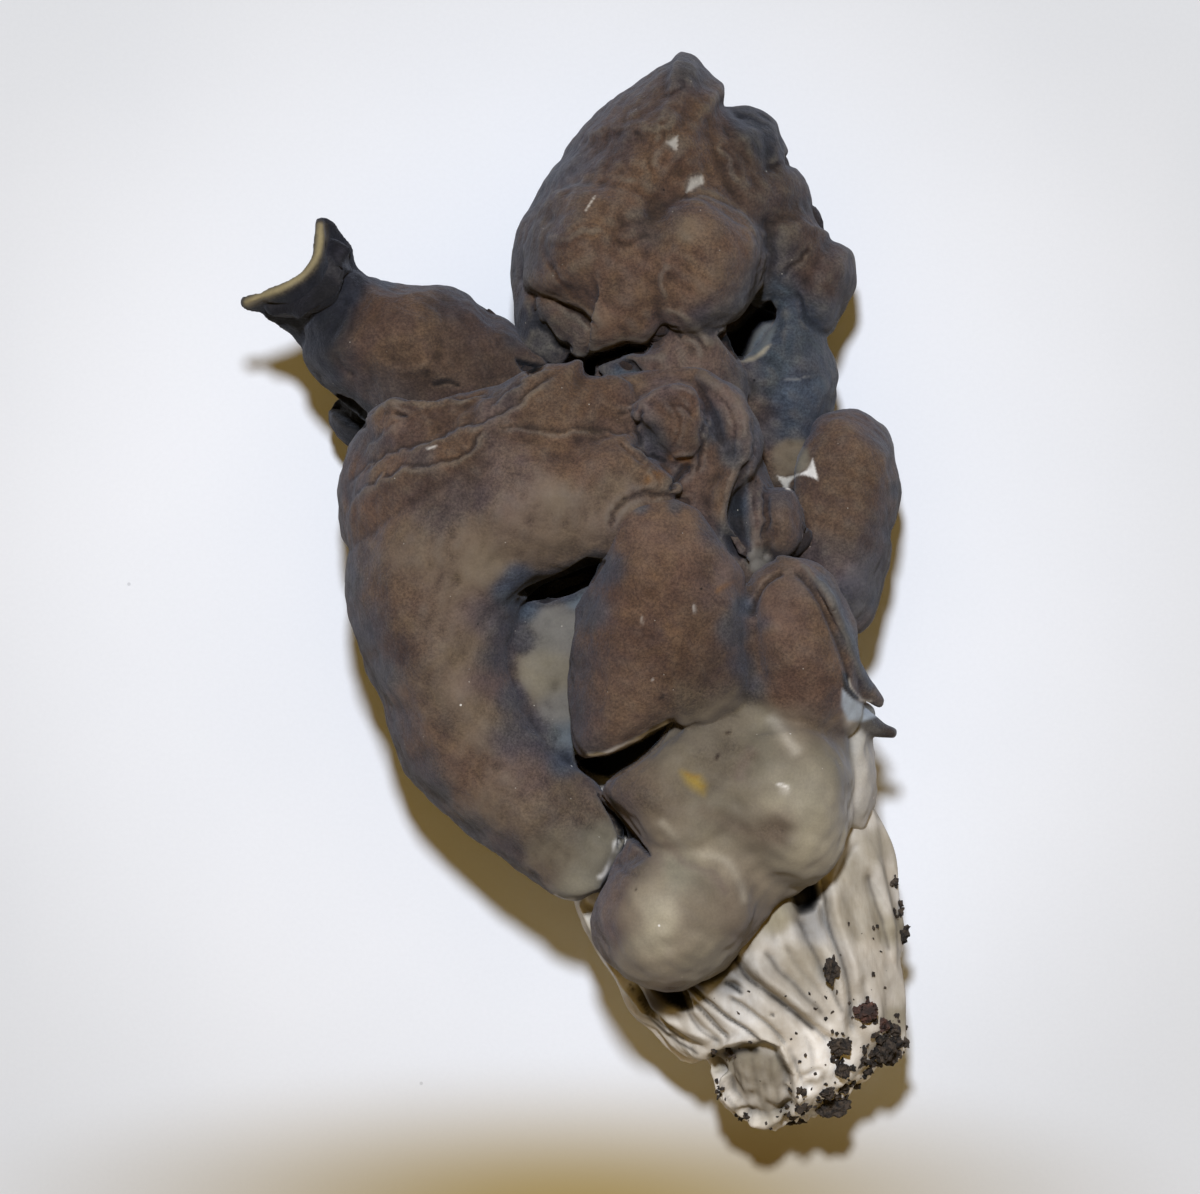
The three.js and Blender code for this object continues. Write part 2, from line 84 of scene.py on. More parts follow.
def smoothCurve(points, count, closed=False):
    # evenly spaced points on a Catmull-Rom curve through the given ones
    knots = np.array(points, float)
    if closed:
        padded = np.vstack([knots[-1:], knots, knots[:2]])
    else:
        padded = np.vstack([2 * knots[:1] - knots[1:2], knots, 2 * knots[-1:] - knots[-2:-1]])
    fine = []
    perSpan = 24
    t = np.linspace(0, 1, perSpan, endpoint=False)[:, None]
    for a, b, c, d in zip(padded, padded[1:], padded[2:], padded[3:]):
        fine.append(0.5 * (2 * b + (c - a) * t + (2 * a - 5 * b + 4 * c - d) * t ** 2
                           + (3 * b - a - 3 * c + d) * t ** 3))
    fine = np.vstack(fine + [knots[:1] if closed else knots[-1:]])
    length = np.concatenate([[0], np.cumsum(np.linalg.norm(np.diff(fine, axis=0), axis=1))])
    wanted = np.linspace(0, length[-1], count + 1 if closed else count)
    curve = np.column_stack([np.interp(wanted, length, fine[:, k]) for k in range(fine.shape[1])])
    return curve[:-1] if closed else curve


def outline(points, count):
    # a closed outline that runs anticlockwise, seen from above
    edge = smoothCurve(points, count, closed=True)
    area = np.sum(edge[:, 0] * np.roll(edge[:, 1], -1) - np.roll(edge[:, 0], -1) * edge[:, 1])
    return edge[::-1] if area < 0 else edge


def ballVertices(bm, segments, rings):
    # a ball's vertices as (vertex, place round it, ring from its top)
    bmesh.ops.create_uvsphere(bm, u_segments=segments, v_segments=rings, radius=1)
    for v in bm.verts:
        turn = math.atan2(v.co.y, v.co.x) / (2 * math.pi) % 1
        ring = round(math.acos(max(-1, min(1, v.co.z))) / math.pi * rings)
        yield v, round(turn * segments) % segments, ring


def addTo(target, bm):
    # a finished lobe joins the others, turned the right way out
    bmesh.ops.recalc_face_normals(bm, faces=bm.faces)
    mesh = bpy.data.meshes.new("lobe")
    bm.to_mesh(mesh)
    bm.free()
    target.from_mesh(mesh)
    bpy.data.meshes.remove(mesh)


def addDome(target, crown, edge, curl=10, droop=1, power=0.85, segments=144, steps=26, inset=0.0):
    # rings run from the crown to the margin, curl under it, and cross the foot
    rims = outline(edge, segments)
    top = np.array(crown, float)
    reach = rims[:, :2] - top[:2]
    rims[:, :2] -= inset * reach / np.linalg.norm(reach, axis=1)[:, None]
    up = 1 if top[2] > rims[0][2] else -1
    wrap = math.radians(90 + curl)
    footRings = 3
    bm = bmesh.new()
    for v, place, ring in ballVertices(bm, segments, steps + footRings):
        foot = ring > steps
        reach = (steps + footRings - ring) / footRings if foot else ring / steps
        tilt = wrap if foot else wrap * reach
        rim = rims[place]
        out = math.sin(tilt) * (reach if foot else 1)
        hang = droop * max(0, -math.cos(tilt))
        rise = max(0, math.cos(tilt)) ** power
        v.co = (top[0] + (rim[0] - top[0]) * out, top[1] + (rim[1] - top[1]) * out,
                rim[2] + (top[2] - rim[2]) * rise - up * hang)
    addTo(target, bm)


def addBand(target, left, right, crown, power=0.85, segments=40, steps=200, foot=3.0):
    # a long lobe between two edges: upper face for half a turn and foot for the other
    near = smoothCurve(left, steps + 1)
    far = smoothCurve(right, steps + 1)
    heights = smoothCurve([[k, h] for k, h in enumerate(crown)], steps + 1)[:, 1]
    bm = bmesh.new()
    for v, place, ring in ballVertices(bm, segments, steps):
        turn = 2 * math.pi * place / segments
        across = (1 - math.cos(turn)) / 2
        spot = near[ring] + (far[ring] - near[ring]) * across
        if turn > math.pi:
            spot[2] -= foot * abs(math.sin(turn))
        else:
            spot[2] += (heights[ring] - spot[2]) * abs(math.sin(turn)) ** power
        v.co = spot
    addTo(target, bm)


def addSheet(target, crown, edge, thickness, dish=1.8, segments=120, steps=20):
    # half a ball opened out to a dished sheet, then given its thickness
    rims = outline(edge, segments)
    top = np.array(crown, float)
    bm = bmesh.new()
    spare = []
    for v, place, ring in ballVertices(bm, segments, 2 * steps):
        if ring > steps:
            spare.append(v)
            continue
        reach = ring / steps
        spot = top + (rims[place] - top) * reach
        spot[2] = top[2] + (rims[place][2] - top[2]) * reach ** dish
        v.co = spot
    bmesh.ops.delete(bm, geom=spare, context="VERTS")
    bmesh.ops.solidify(bm, geom=bm.faces[:], thickness=thickness)
    addTo(target, bm)


def finishMesh(bm, name, smooth=True):
    mesh = bpy.data.meshes.new(name)
    bm.to_mesh(mesh)
    bm.free()
    if smooth:
        mesh.polygons.foreach_set("use_smooth", [True] * len(mesh.polygons))
    piece = bpy.data.objects.new(name, mesh)
    scene.collection.objects.link(piece)
    return piece


def applyModifiers(piece):
    # the piece keeps its evaluated mesh and no live modifier
    depsgraph = bpy.context.evaluated_depsgraph_get()
    done = bpy.data.meshes.new_from_object(piece.evaluated_get(depsgraph))
    old = piece.data
    piece.modifiers.clear()
    piece.data = done
    bpy.data.meshes.remove(old)
    done.name = piece.name


def remesh(piece, voxel, smoothing):
    skin = piece.modifiers.new("skin", "REMESH")
    skin.mode = "VOXEL"
    skin.voxel_size = voxel
    skin.use_smooth_shade = True
    soften = piece.modifiers.new("soften", "SMOOTH")
    soften.iterations = smoothing
    applyModifiers(piece)


def thin(piece, triangles, hidden):
    # the faces that nobody sees from above give way first
    soften = piece.modifiers.new("soften", "SMOOTH")
    soften.iterations = 1
    group = piece.vertex_groups.new(name="hidden")
    levels = 4
    for level in range(levels):
        here = np.flatnonzero((hidden * (levels - 0.01)).astype(int) == level)
        group.add(here.tolist(), (1 + level) / levels, "REPLACE")
    piece.data.calc_loop_triangles()
    now = len(piece.data.loop_triangles)
    if now > triangles:
        fewer = piece.modifiers.new("fewer", "DECIMATE")
        fewer.ratio = triangles / now
        fewer.vertex_group = "hidden"
    applyModifiers(piece)
    piece.vertex_groups.clear()
    piece.data.calc_loop_triangles()
    print(piece.name, len(piece.data.loop_triangles), "triangles")


def readVectors(items, key):
    flat = np.empty(len(items) * 3, np.float32)
    items.foreach_get(key, flat)
    return flat.reshape(-1, 3).astype(float)


def coordinates(piece):
    return readVectors(piece.data.vertices, "co")


def normals(piece):
    return readVectors(piece.data.vertex_normals, "vector")


def setCoordinates(piece, places):
    piece.data.vertices.foreach_set("co", places.astype(np.float32).ravel())
    piece.data.update()


def edgeEnds(piece):
    pairs = np.empty(len(piece.data.edges) * 2, np.int32)
    piece.data.edges.foreach_get("vertices", pairs)
    return pairs.reshape(-1, 2).T


def spread(piece, values, rounds):
    # a value at each vertex, averaged with its neighbours'
    a, b = edgeEnds(piece)
    count = len(values)
    share = 1 + np.bincount(a, minlength=count) + np.bincount(b, minlength=count)
    for _ in range(rounds):
        values = (values + np.bincount(a, values[b], count) + np.bincount(b, values[a], count)) / share
    return values


def melt(piece, places, spots, rounds=36):
    # neighbouring lobes flow together round these spots
    if not spots:
        return places
    a, b = edgeEnds(piece)
    count = len(places)
    share = np.zeros(count)
    for x, y, radius in spots:
        share = np.maximum(share, bell(places, x, y, radius))
    share /= 1 + np.bincount(a, minlength=count) + np.bincount(b, minlength=count)
    for _ in range(rounds):
        gap = places[b] - places[a]
        for k in range(3):
            pull = np.bincount(a, gap[:, k], count) - np.bincount(b, gap[:, k], count)
            places[:, k] += pull * share
    return places


def bell(places, x, y, radius):
    # 1 at a spot, falling away round it
    return np.exp(-((places[:, 0] - x) ** 2 + (places[:, 1] - y) ** 2) / radius ** 2)


def openToSky(piece, unit, slope, rounds):
    # 1 where a vertex that faces up by this slope has nothing of the piece above it, 0 elsewhere
    tree = BVHTree.FromObject(piece, bpy.context.evaluated_depsgraph_get())
    places = coordinates(piece)
    ways = normals(piece)
    starts = places + ways * 0.05 * unit
    up = Vector((0, 0, 1))
    seen = np.zeros(len(places))
    for k in np.flatnonzero(ways[:, 2] > slope):
        if tree.ray_cast(Vector(starts[k]), up)[0] is None:
            seen[k] = 1
    return spread(piece, seen, rounds)


def smoothstep(low, high, value):
    t = np.clip((value - low) / (high - low), 0, 1)
    return t * t * (3 - 2 * t)


def waves(places, length, seed, count=28):
    # an even, directionless swell of about unit height
    rng = np.random.default_rng(seed)
    ways = rng.normal(size=(count, 3))
    ways *= 2 * math.pi / length * rng.uniform(0.7, 1.4, (count, 1)) / np.linalg.norm(ways, axis=1)[:, None]
    turns = rng.uniform(0, 2 * math.pi, count)
    total = np.zeros(len(places))
    for way, turn in zip(ways, turns):
        total += np.sin(places @ way + turn)
    return total / math.sqrt(count / 2)


def swell(places, seed, layers, count=28):
    # waves on top of each other, as their length, a step from the seed, and their height
    return sum(waves(places, length, seed + step, count) * height for length, step, height in layers)


# How a drawn line is followed, in millimetres: the pitch of its points, and the waves in which it strays
# unless it is shorter than this to each side. The more it strays, the more its colour fades and breaks up,
# in waves of this length, seed and height.
lineShape = {
    "pitch": 0.7, "seed": 7, "strays": [(3.0, 0, 0.16), (1.2, 1, 0.06)], "straight": 1.5,
    "fade": 0.15, "breaks": (4, 9, 0.4),
}


def lineField(spots, points, closed=False):
    # each spot's distance from a line, the side it lies on (left is 1), and its distance from the line's ends
    knots = np.array(points, float)
    rough = np.sum(np.linalg.norm(np.diff(knots, axis=0), axis=1))
    if closed or len(knots) < 3:
        line = np.vstack([knots, knots[:1]]) if closed else knots
    else:
        line = smoothCurve(points, max(len(points), int(rough / lineShape["pitch"])) + 1)
    best = np.full(len(spots), np.inf)
    side = np.zeros(len(spots))
    along = np.zeros(len(spots))
    done = 0.0
    for a, b in zip(line, line[1:]):
        length = math.hypot(*(b - a))
        way = (b - a) / length
        off = spots - a
        t = np.clip(off @ way, 0, length)
        gap = off - t[:, None] * way
        away = np.hypot(gap[:, 0], gap[:, 1])
        closer = away < best
        best[closer] = away[closer]
        side[closer] = np.sign(way[0] * off[closer, 1] - way[1] * off[closer, 0])
        along[closer] = done + t[closer]
        done += length
    return best, side, np.minimum(along, done - along)


def traced(places, points, loose):
    # signed distance from a drawn line, distance from its ends, and how freely it strays
    away, side, end = lineField(places[:, :2], points)
    if end.max(initial=0) < lineShape["straight"]:
        loose = 0.0
    return away * side + loose * swell(places, lineShape["seed"], lineShape["strays"], 16), end, loose


def nearTo(places, points, reach):
    knots = np.array(points, float)
    low, high = knots.min(0) - reach, knots.max(0) + reach
    return np.flatnonzero(np.all((places[:, :2] > low) & (places[:, :2] < high), axis=1))


def within(spots, points):
    # which spots lie inside an outline
    inside = np.zeros(len(spots), bool)
    x, y = spots.T
    for (ax, ay), (bx, by) in zip(points, points[1:] + points[:1]):
        crosses = (ay > y) != (by > y)
        if ay != by:
            inside ^= crosses & (x < (bx - ax) * (y - ay) / (by - ay) + ax)
    return inside


def outlineField(places, points, reach):
    # the vertices near an outline, and how deep inside it they are (outside is below 0)
    near = nearTo(places, points, reach)
    spots = places[near, :2]
    away = lineField(spots, points, closed=True)[0]
    return near, np.where(within(spots, points), away, -away)


# What a piece's dictionary leaves out.
plainShape = {
    "bands": [], "sheets": [], "melts": [], "grooves": [], "ridges": [], "steps": [], "lumps": [], "pits": [],
    "spots": {}, "washes": [], "toneLightAndShade": [], "lines": [], "patches": [],
    "loose": 1.0,  # how freely creases stray from their drawn lines
    "undercut": 0.12, "stepEnd": 2.5,  # a step's hollow foot, and how it runs out
    "swells": [(7, 0, 0.16), (2.4, 1, 0.05)], "flankCreases": [(26, 2, 3.0), (11, 3, 1.1)], "flanks": 1.0,
    "ground": ("umber", [(12, 4, -1.3, 1.3, "plum", 0.8), (5, 5, -0.8, 1.6, "tan", 0.25)]),
    "baseWeight": 0.02,  # how much of the ground shows between spots
    "mottle": [(4.5, 9, 0.05)], "tone": 1.0,
    "steepFrom": 0.5, "steepShadeBlue": 0.7,  # slopes turn a dusky blue from here as painted shade, by this share
    "curve": 0.07, "dust": 0.4, "dustBelow": 0.2, "hollows": 0.55,  # pale dust and a painted highlight on what stands proud, painted shade in hollows
}


def sculpt(places, ways, seen, shape):
    # folds, creases, lumps and pits on the side that faces up
    rise = np.zeros(len(places))
    grooves = [(-depth, width, points) for depth, width, points in shape["grooves"]]
    for height, width, points in grooves + shape["ridges"]:
        near = nearTo(places, points, 3 * width)
        away, end, _ = traced(places[near], points, shape["loose"])
        rise[near] += height * np.exp(-(away / width) ** 2) * smoothstep(0, 2 * width + 0.4, end)
    for height, width, reach, points in shape["steps"]:
        # the left side stands above the right, and falls back over its reach
        near = nearTo(places, points, 3 * reach)
        away, end, _ = traced(places[near], points, shape["loose"])
        lip = smoothstep(-width, width, away) * np.exp(-np.maximum(away, 0) / reach)
        undercut = np.exp(-(np.minimum(away + width, 0) / (1.5 * width)) ** 2) * (away < 0)
        rise[near] += height * (lip - shape["undercut"] * undercut) * smoothstep(0, shape["stepEnd"], end)
    for x, y, radius, height in shape["lumps"]:
        away = np.hypot(places[:, 0] - x, places[:, 1] - y) / radius
        rise += height * np.clip(1 - away ** 2, 0, 1) ** 2
    for depth, edge, points in shape["pits"]:
        near, deep = outlineField(places, points, edge + 1)
        rise[near] -= depth * smoothstep(-edge, edge, deep)
    lift = np.clip(ways, -1, 1) * 0.5  # halfway between outwards and straight up
    lift[:, 2] += 0.5
    return lift * (rise * seen)[:, None]


def blend(tint, near, name, share):
    # these vertices take on a colour, each by its share
    tint[near] += (linear(name) - tint[near]) * share[:, None]


def paint(piece, shape, base, seen):
    # one soft colour for each vertex, kept as an attribute
    places = coordinates(piece) / millimetre - origin
    ways = normals(piece)
    everywhere = slice(None)
    total = np.full(len(places), shape["baseWeight"])
    tint = total[:, None] * base
    for name, group in shape["spots"].items():
        for x, y, radius in group:
            near = nearTo(places, [(x, y)], 3 * radius)
            weight = bell(places[near], x, y, radius)
            total[near] += weight
            tint[near] += weight[:, None] * linear(name)
    tint /= total[:, None]
    tint = base + (tint - base) * seen[:, None]
    for name, strength, edge, points in shape["washes"]:
        near, deep = outlineField(places, points, edge + 0.5)
        blend(tint, near, name, strength * smoothstep(-edge, edge, deep))
    # Painted light and shade mixed with the skin's own tone: each spot lightens or darkens the colour round it.
    for factor, x, y, radius in shape["toneLightAndShade"]:
        tint *= (1 + (factor - 1) * bell(places, x, y, radius))[:, None]
    tint *= (1 + swell(places, shape["seed"], shape["mottle"], 16))[:, None]
    # Painted shade: steep slopes turn a dusky blue.
    steep = smoothstep(shape["steepFrom"], 0.05, ways[:, 2]) * shape["steepShadeBlue"]
    blend(tint, everywhere, "slopeShadeBlue", steep * (0.5 + 0.5 * seen))
    for name, strength, width, points in shape["lines"]:
        near = nearTo(places, points, 3 * width)
        away, end, loose = traced(places[near], points, shape["loose"])
        share = strength * np.exp(-(away / width) ** 2) * smoothstep(0, width + 0.3, end) * seen[near]
        length, seed, height = lineShape["breaks"]
        share *= np.clip(1 - loose * (lineShape["fade"] + waves(places[near], length, seed, 16) * height), 0, 1)
        blend(tint, near, name, share)
    for name, strength, edge, points in shape["patches"]:
        near, deep = outlineField(places, points, edge + 0.5)
        blend(tint, near, name, strength * smoothstep(-edge, edge, deep) * seen[near])
    # By the skin's curvature: what stands proud takes pale dust and a painted highlight, and hollows take a painted
    # shade.
    level = np.column_stack([spread(piece, places[:, k], 5) for k in range(3)])
    proud = np.clip(np.sum((places - level) * ways, axis=1) / shape["curve"], -1, 1)
    dark = tint.mean(axis=1) < shape["dustBelow"]
    blend(tint, everywhere, "pearl", np.maximum(proud, 0) * shape["dust"] * dark)
    tint *= (1 + np.minimum(proud, 0) * shape["hollows"])[:, None]
    # Painted shade: the skin inside each gap turns black.
    for points in mouths.values():
        near, deep = outlineField(places, points, mouthShade["reach"])
        facing = ways[near, 2] > mouthShade["slope"]
        tint[near] *= 1 - (smoothstep(-mouthShade["edge"], mouthShade["edge"], deep) * facing)[:, None]
    tint *= shape["tone"]
    layer = piece.data.color_attributes.new("tint", "FLOAT_COLOR", "POINT")
    layer.data.foreach_set("color", np.column_stack([tint, np.ones(len(tint))]).astype(np.float32).ravel())


def groundTones(piece, shape):
    # the mottled colours that lie under everything else
    places = coordinates(piece) / millimetre
    first, layers = shape["ground"]
    base = linear(first)
    for length, step, low, high, name, share in layers:
        patches = smoothstep(low, high, waves(places, length, shape["seed"] + step))[:, None]
        base = base + (linear(name) - base) * patches * share
    return base


def roughFlanks(piece, places, ways, seen, shape):
    # meandering creases cut into the flanks, clear of the margins that are seen from above
    depth = np.zeros(len(places))
    for length, step, deepest in shape["flankCreases"]:
        crease = 1 - np.minimum(1, np.abs(waves(places, length, shape["seed"] + step)))
        depth += deepest * crease ** 1.6
    clear = 1 - smoothstep(0.0, 0.02, spread(piece, seen, 60))
    return ways * (-depth * clear * shape["flanks"])[:, None]


def joinLobes(name, shape):
    joined = bmesh.new()
    for kind, add in (("domes", addDome), ("bands", addBand), ("sheets", addSheet)):
        for spec in shape[kind]:
            add(joined, **spec)
    piece = finishMesh(joined, name)
    remesh(piece, shape["voxel"], shape["smoothing"])
    return piece


def settle(piece, places, shape, hidden):
    # onto the table, thinned, and moved to where the frame has the mushroom
    places[:, 2] = np.maximum(places[:, 2], tableGap)
    setCoordinates(piece, places)
    thin(piece, shape["triangles"], hidden)
    setCoordinates(piece, (coordinates(piece) + origin) * millimetre)


def growLobes(name, ownShape):
    shape = {**plainShape, **ownShape}
    piece = joinLobes(name, shape)
    setCoordinates(piece, melt(piece, coordinates(piece), shape["melts"]))
    places = coordinates(piece)
    ways = normals(piece)
    seen = openToSky(piece, 1, 0.03, 5)
    hidden = spread(piece, 1 - smoothstep(0.1, 0.6, seen * smoothstep(0.0, 0.35, ways[:, 2])), 14)
    places = places + roughFlanks(piece, places, ways, seen, shape)
    places += ways * swell(places, shape["seed"], shape["swells"])[:, None]
    places += sculpt(places, ways, seen, shape)
    settle(piece, places, shape, hidden)
    paint(piece, shape, groundTones(piece, shape), openToSky(piece, millimetre, 0, 1))
    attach(piece, "root")
    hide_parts("cap")
    return piece


class Nodes:
    # a material's nodes, added and linked by name
    def __init__(self, name):
        self.material = bpy.data.materials.new(name)
        self.material.use_nodes = True
        self.tree = self.material.node_tree
        self.shader = self.tree.nodes["Principled BSDF"]
        self.place = self.tree.nodes.new("ShaderNodeTexCoord").outputs["Object"]

    def add(self, kind, inputs=(), **settings):
        node = self.tree.nodes.new("ShaderNode" + kind)
        for key, value in settings.items():
            setattr(node, key, value)
        for key, value in dict(inputs).items():
            self.feed(node.inputs[key], value)
        return node

    def feed(self, socket, value):
        if isinstance(value, bpy.types.NodeSocket):
            self.tree.links.new(value, socket)
        else:
            socket.default_value = value

    def tint(self):
        return self.add("Attribute", attribute_name="tint").outputs["Color"]

    def noise(self, size, detail=3.0, rough=0.55, warp=0.0, stretch=None):
        # a noise whose spots are about this many millimetres across
        where = self.place
        if stretch:
            where = self.add("Mapping", {"Vector": where, "Scale": stretch}).outputs["Vector"]
        return self.add("TexNoise", {"Vector": where, "Scale": 1000 / size, "Detail": detail,
                                     "Roughness": rough, "Distortion": warp}).outputs["Fac"]

    def range(self, value, low, high, least=0.0, most=1.0):
        return self.add("MapRange", {"Value": value, "From Min": low, "From Max": high, "To Min": least,
                                     "To Max": most}, interpolation_type="SMOOTHSTEP").outputs["Result"]

    def mix(self, share, first, second, blend="MIX"):
        node = self.add("Mix", data_type="RGBA", blend_type=blend)
        for index, value in ((0, share), (6, first), (7, second)):
            self.feed(node.inputs[index], value)
        return node.outputs[2]

    def times(self, first, second):
        return self.add("Math", {0: first, 1: second}, operation="MULTIPLY").outputs["Value"]

    def shared(self, strength, share):
        return strength if share is None else self.times(share, strength)

    def mottles(self, skin, layers, share=None):
        # patches of darker and paler tone, everywhere or by a share
        for strength, spots, low, high, dark, pale in layers:
            patches = self.mix(self.range(self.noise(*spots), low, high), (*dark, 1), (*pale, 1))
            skin = self.mix(self.shared(strength, share), skin, patches, "MULTIPLY")
        return skin

    def specks(self, skin, layers):
        # scattered round specks, this many millimetres apart and across, in the rarest cells only
        for spacing, size, rare, strength, colour in layers:
            cells = self.add("TexVoronoi", {"Vector": self.place, "Scale": 1000 / spacing, "Randomness": 1.0})
            near = self.range(cells.outputs["Distance"], size, size * 0.6)
            chosen = self.add("SeparateColor", {"Color": cells.outputs["Color"]}).outputs["Red"]
            here = self.times(near, self.range(chosen, rare, rare + 0.02))
            skin = self.mix(self.times(here, strength), skin, colour)
        return skin

    def bumps(self, layers, share=None):
        inputs = {}
        for strength, height, spots in layers:
            inputs.update({"Height": self.noise(*spots), "Distance": height * millimetre,
                           "Strength": self.shared(strength, share)})
            inputs["Normal"] = self.add("Bump", inputs).outputs["Normal"]
        return inputs["Normal"]

    def finish(self, **values):
        for key, value in values.items():
            self.feed(self.shader.inputs[key.replace("_", " ")], value)
        return self.material


# Finishes. A noise is its spots' size in mm, detail, roughness, warp and stretch. A mottle is its share, noise,
# range, darkest and palest tone. Specks are their spacing and size, rarity, share and colour. A bump is its
# strength, height in mm and noise.
capFinish = {
    "powder": (0.07, 0.14, 1.0, 0.2),  # dark skin is mottled and powdery, pale skin waxy and even
    "mottles": [
        (0.9, (7.0, 4, 0.6, 0.5), 0.36, 0.64, (0.89, 0.85, 0.90), (1.09, 1.07, 0.95)),
        (0.85, (2.3, 6, 0.7, 0.6), 0.34, 0.64, (0.76, 0.73, 0.76), (1.11, 1.10, 1.06)),
        (0.9, (0.34, 4, 0.8), 0.34, 0.66, (0.60, 0.60, 0.62), (1.34, 1.34, 1.32)),
    ],
    "specks": [(1.1, 0.09, 0.9, 0.5, tone("bone")), (2.6, 0.07, 0.93, 0.85, tone("chalk")),
               (2.2, 0.09, 0.9, 0.75, tone("shadeAndMarkBlack"))],
    "bumps": [(0.9, 0.17, (0.45, 4, 0.75)), (0.8, 0.32, (1.7, 5, 0.6))],
    "dull": (0.3, 0.7, 0.72, 0.92), "sheenTint": (0.7, 0.75, 0.9, 1),
}


def capMaterial():
    m = Nodes("capSkin")
    tint = m.tint()
    powder = m.range(m.add("RGBToBW", {"Color": tint}).outputs["Val"], *capFinish["powder"])
    skin = m.specks(m.mottles(tint, capFinish["mottles"], powder), capFinish["specks"])
    return m.finish(Base_Color=skin, Roughness=m.range(m.noise(2.0), *capFinish["dull"]),
                    Normal=m.bumps(capFinish["bumps"], powder), Specular_IOR_Level=0.25, Sheen_Weight=0.12,
                    Sheen_Roughness=0.5, Sheen_Tint=capFinish["sheenTint"])


capSkin = capMaterial()

# Narrow gaps between the lobes, painted black as shade, the same for every piece that reaches them.
mouths = {
    "underCrest": [(1.5, 28.6), (3.8, 29.4), (5.4, 30), (6.4, 30.3), (7.6, 30), (8.8, 30), (9.7, 30.8), (9, 29.8),
                   (8.4, 29.3), (7, 29.3), (6.2, 29.7), (5.6, 28.9), (3.8, 28.3), (2.7, 27.8), (2.7, 27.1),
                   (3.5, 26.4), (1.5, 26.6)],
    "besideCrest": [(17.3, 31.3), (18.1, 30.3), (19.6, 28.6), (20.4, 28.8), (21, 30.7), (21.7, 32.4),
                    (22.8, 33.3), (24.1, 33.6), (24.2, 34.6), (23.5, 35.4), (22.4, 35), (21.2, 34), (19.8, 32.5),
                    (18.3, 31.9)],
    "underEar": [(-30.2, 23.9), (-28.6, 24.4), (-26.6, 23.6), (-25, 22.1), (-24.8, 20.6), (-26, 20.1),
                 (-27.6, 20.8), (-29.2, 22.3)],
    "earToCrest": [(-6.8, 28.5), (-5.2, 28.1), (-3.4, 27.7), (-4.2, 26.9), (-5.1, 26.4), (-6.1, 27.3)],
    "middle": [(-6.4, 0.4), (-3.5, -0.5), (-0.2, 0.6), (2.1, 1.8), (3.6, 4.3), (1.6, 4.6), (-1, 3), (-3.6, 1.9),
               (-5.4, 1.1)],
    "tear": [(0.3, -18.9), (1.6, -19.2), (4, -18.9), (8, -17.1), (11.6, -15), (10, -17.5), (7, -19.9),
             (4.2, -21.6), (2.2, -21.2), (0.7, -20.3)],
    "lowerSlit": [(3, -23.4), (4.5, -25.1), (6.1, -26.9), (9, -30.5), (7, -29), (6, -28.6), (5.4, -29.6),
                  (5.5, -28.2), (4.6, -26.1)],
}
# The painted shade round each gap, in millimetres, and the slope of the steepest skin that it darkens.
mouthShade = {"reach": 0.8, "edge": 0.22, "slope": -0.4}
mouthPits = [(2.2, 0.25, points) for points in mouths.values()]

# Pale scars on the crest, and the pale gaps between the crest and the side lobe, which reach two pieces.
crestScars = [
    [(11, 54.1), (12.4, 55), (12.2, 53.2)],
    [(13.3, 48.1), (13.9, 49.9), (15.3, 50.4), (15.5, 49.4), (14.4, 48.8)],
]
sideGaps = [("chalk", 1.0, 0.12, points) for points in (
    [(28.6, 16.6), (28.9, 15.4), (29.2, 14.1), (28.5, 14.4), (27.6, 14.7), (26.8, 14.7), (27.9, 15.2)],
    [(24.5, 14.6), (25.2, 13.4), (25.3, 12.9), (25.8, 12.8), (25.9, 13.8), (26.9, 14.8), (25.6, 14.4)],
)]

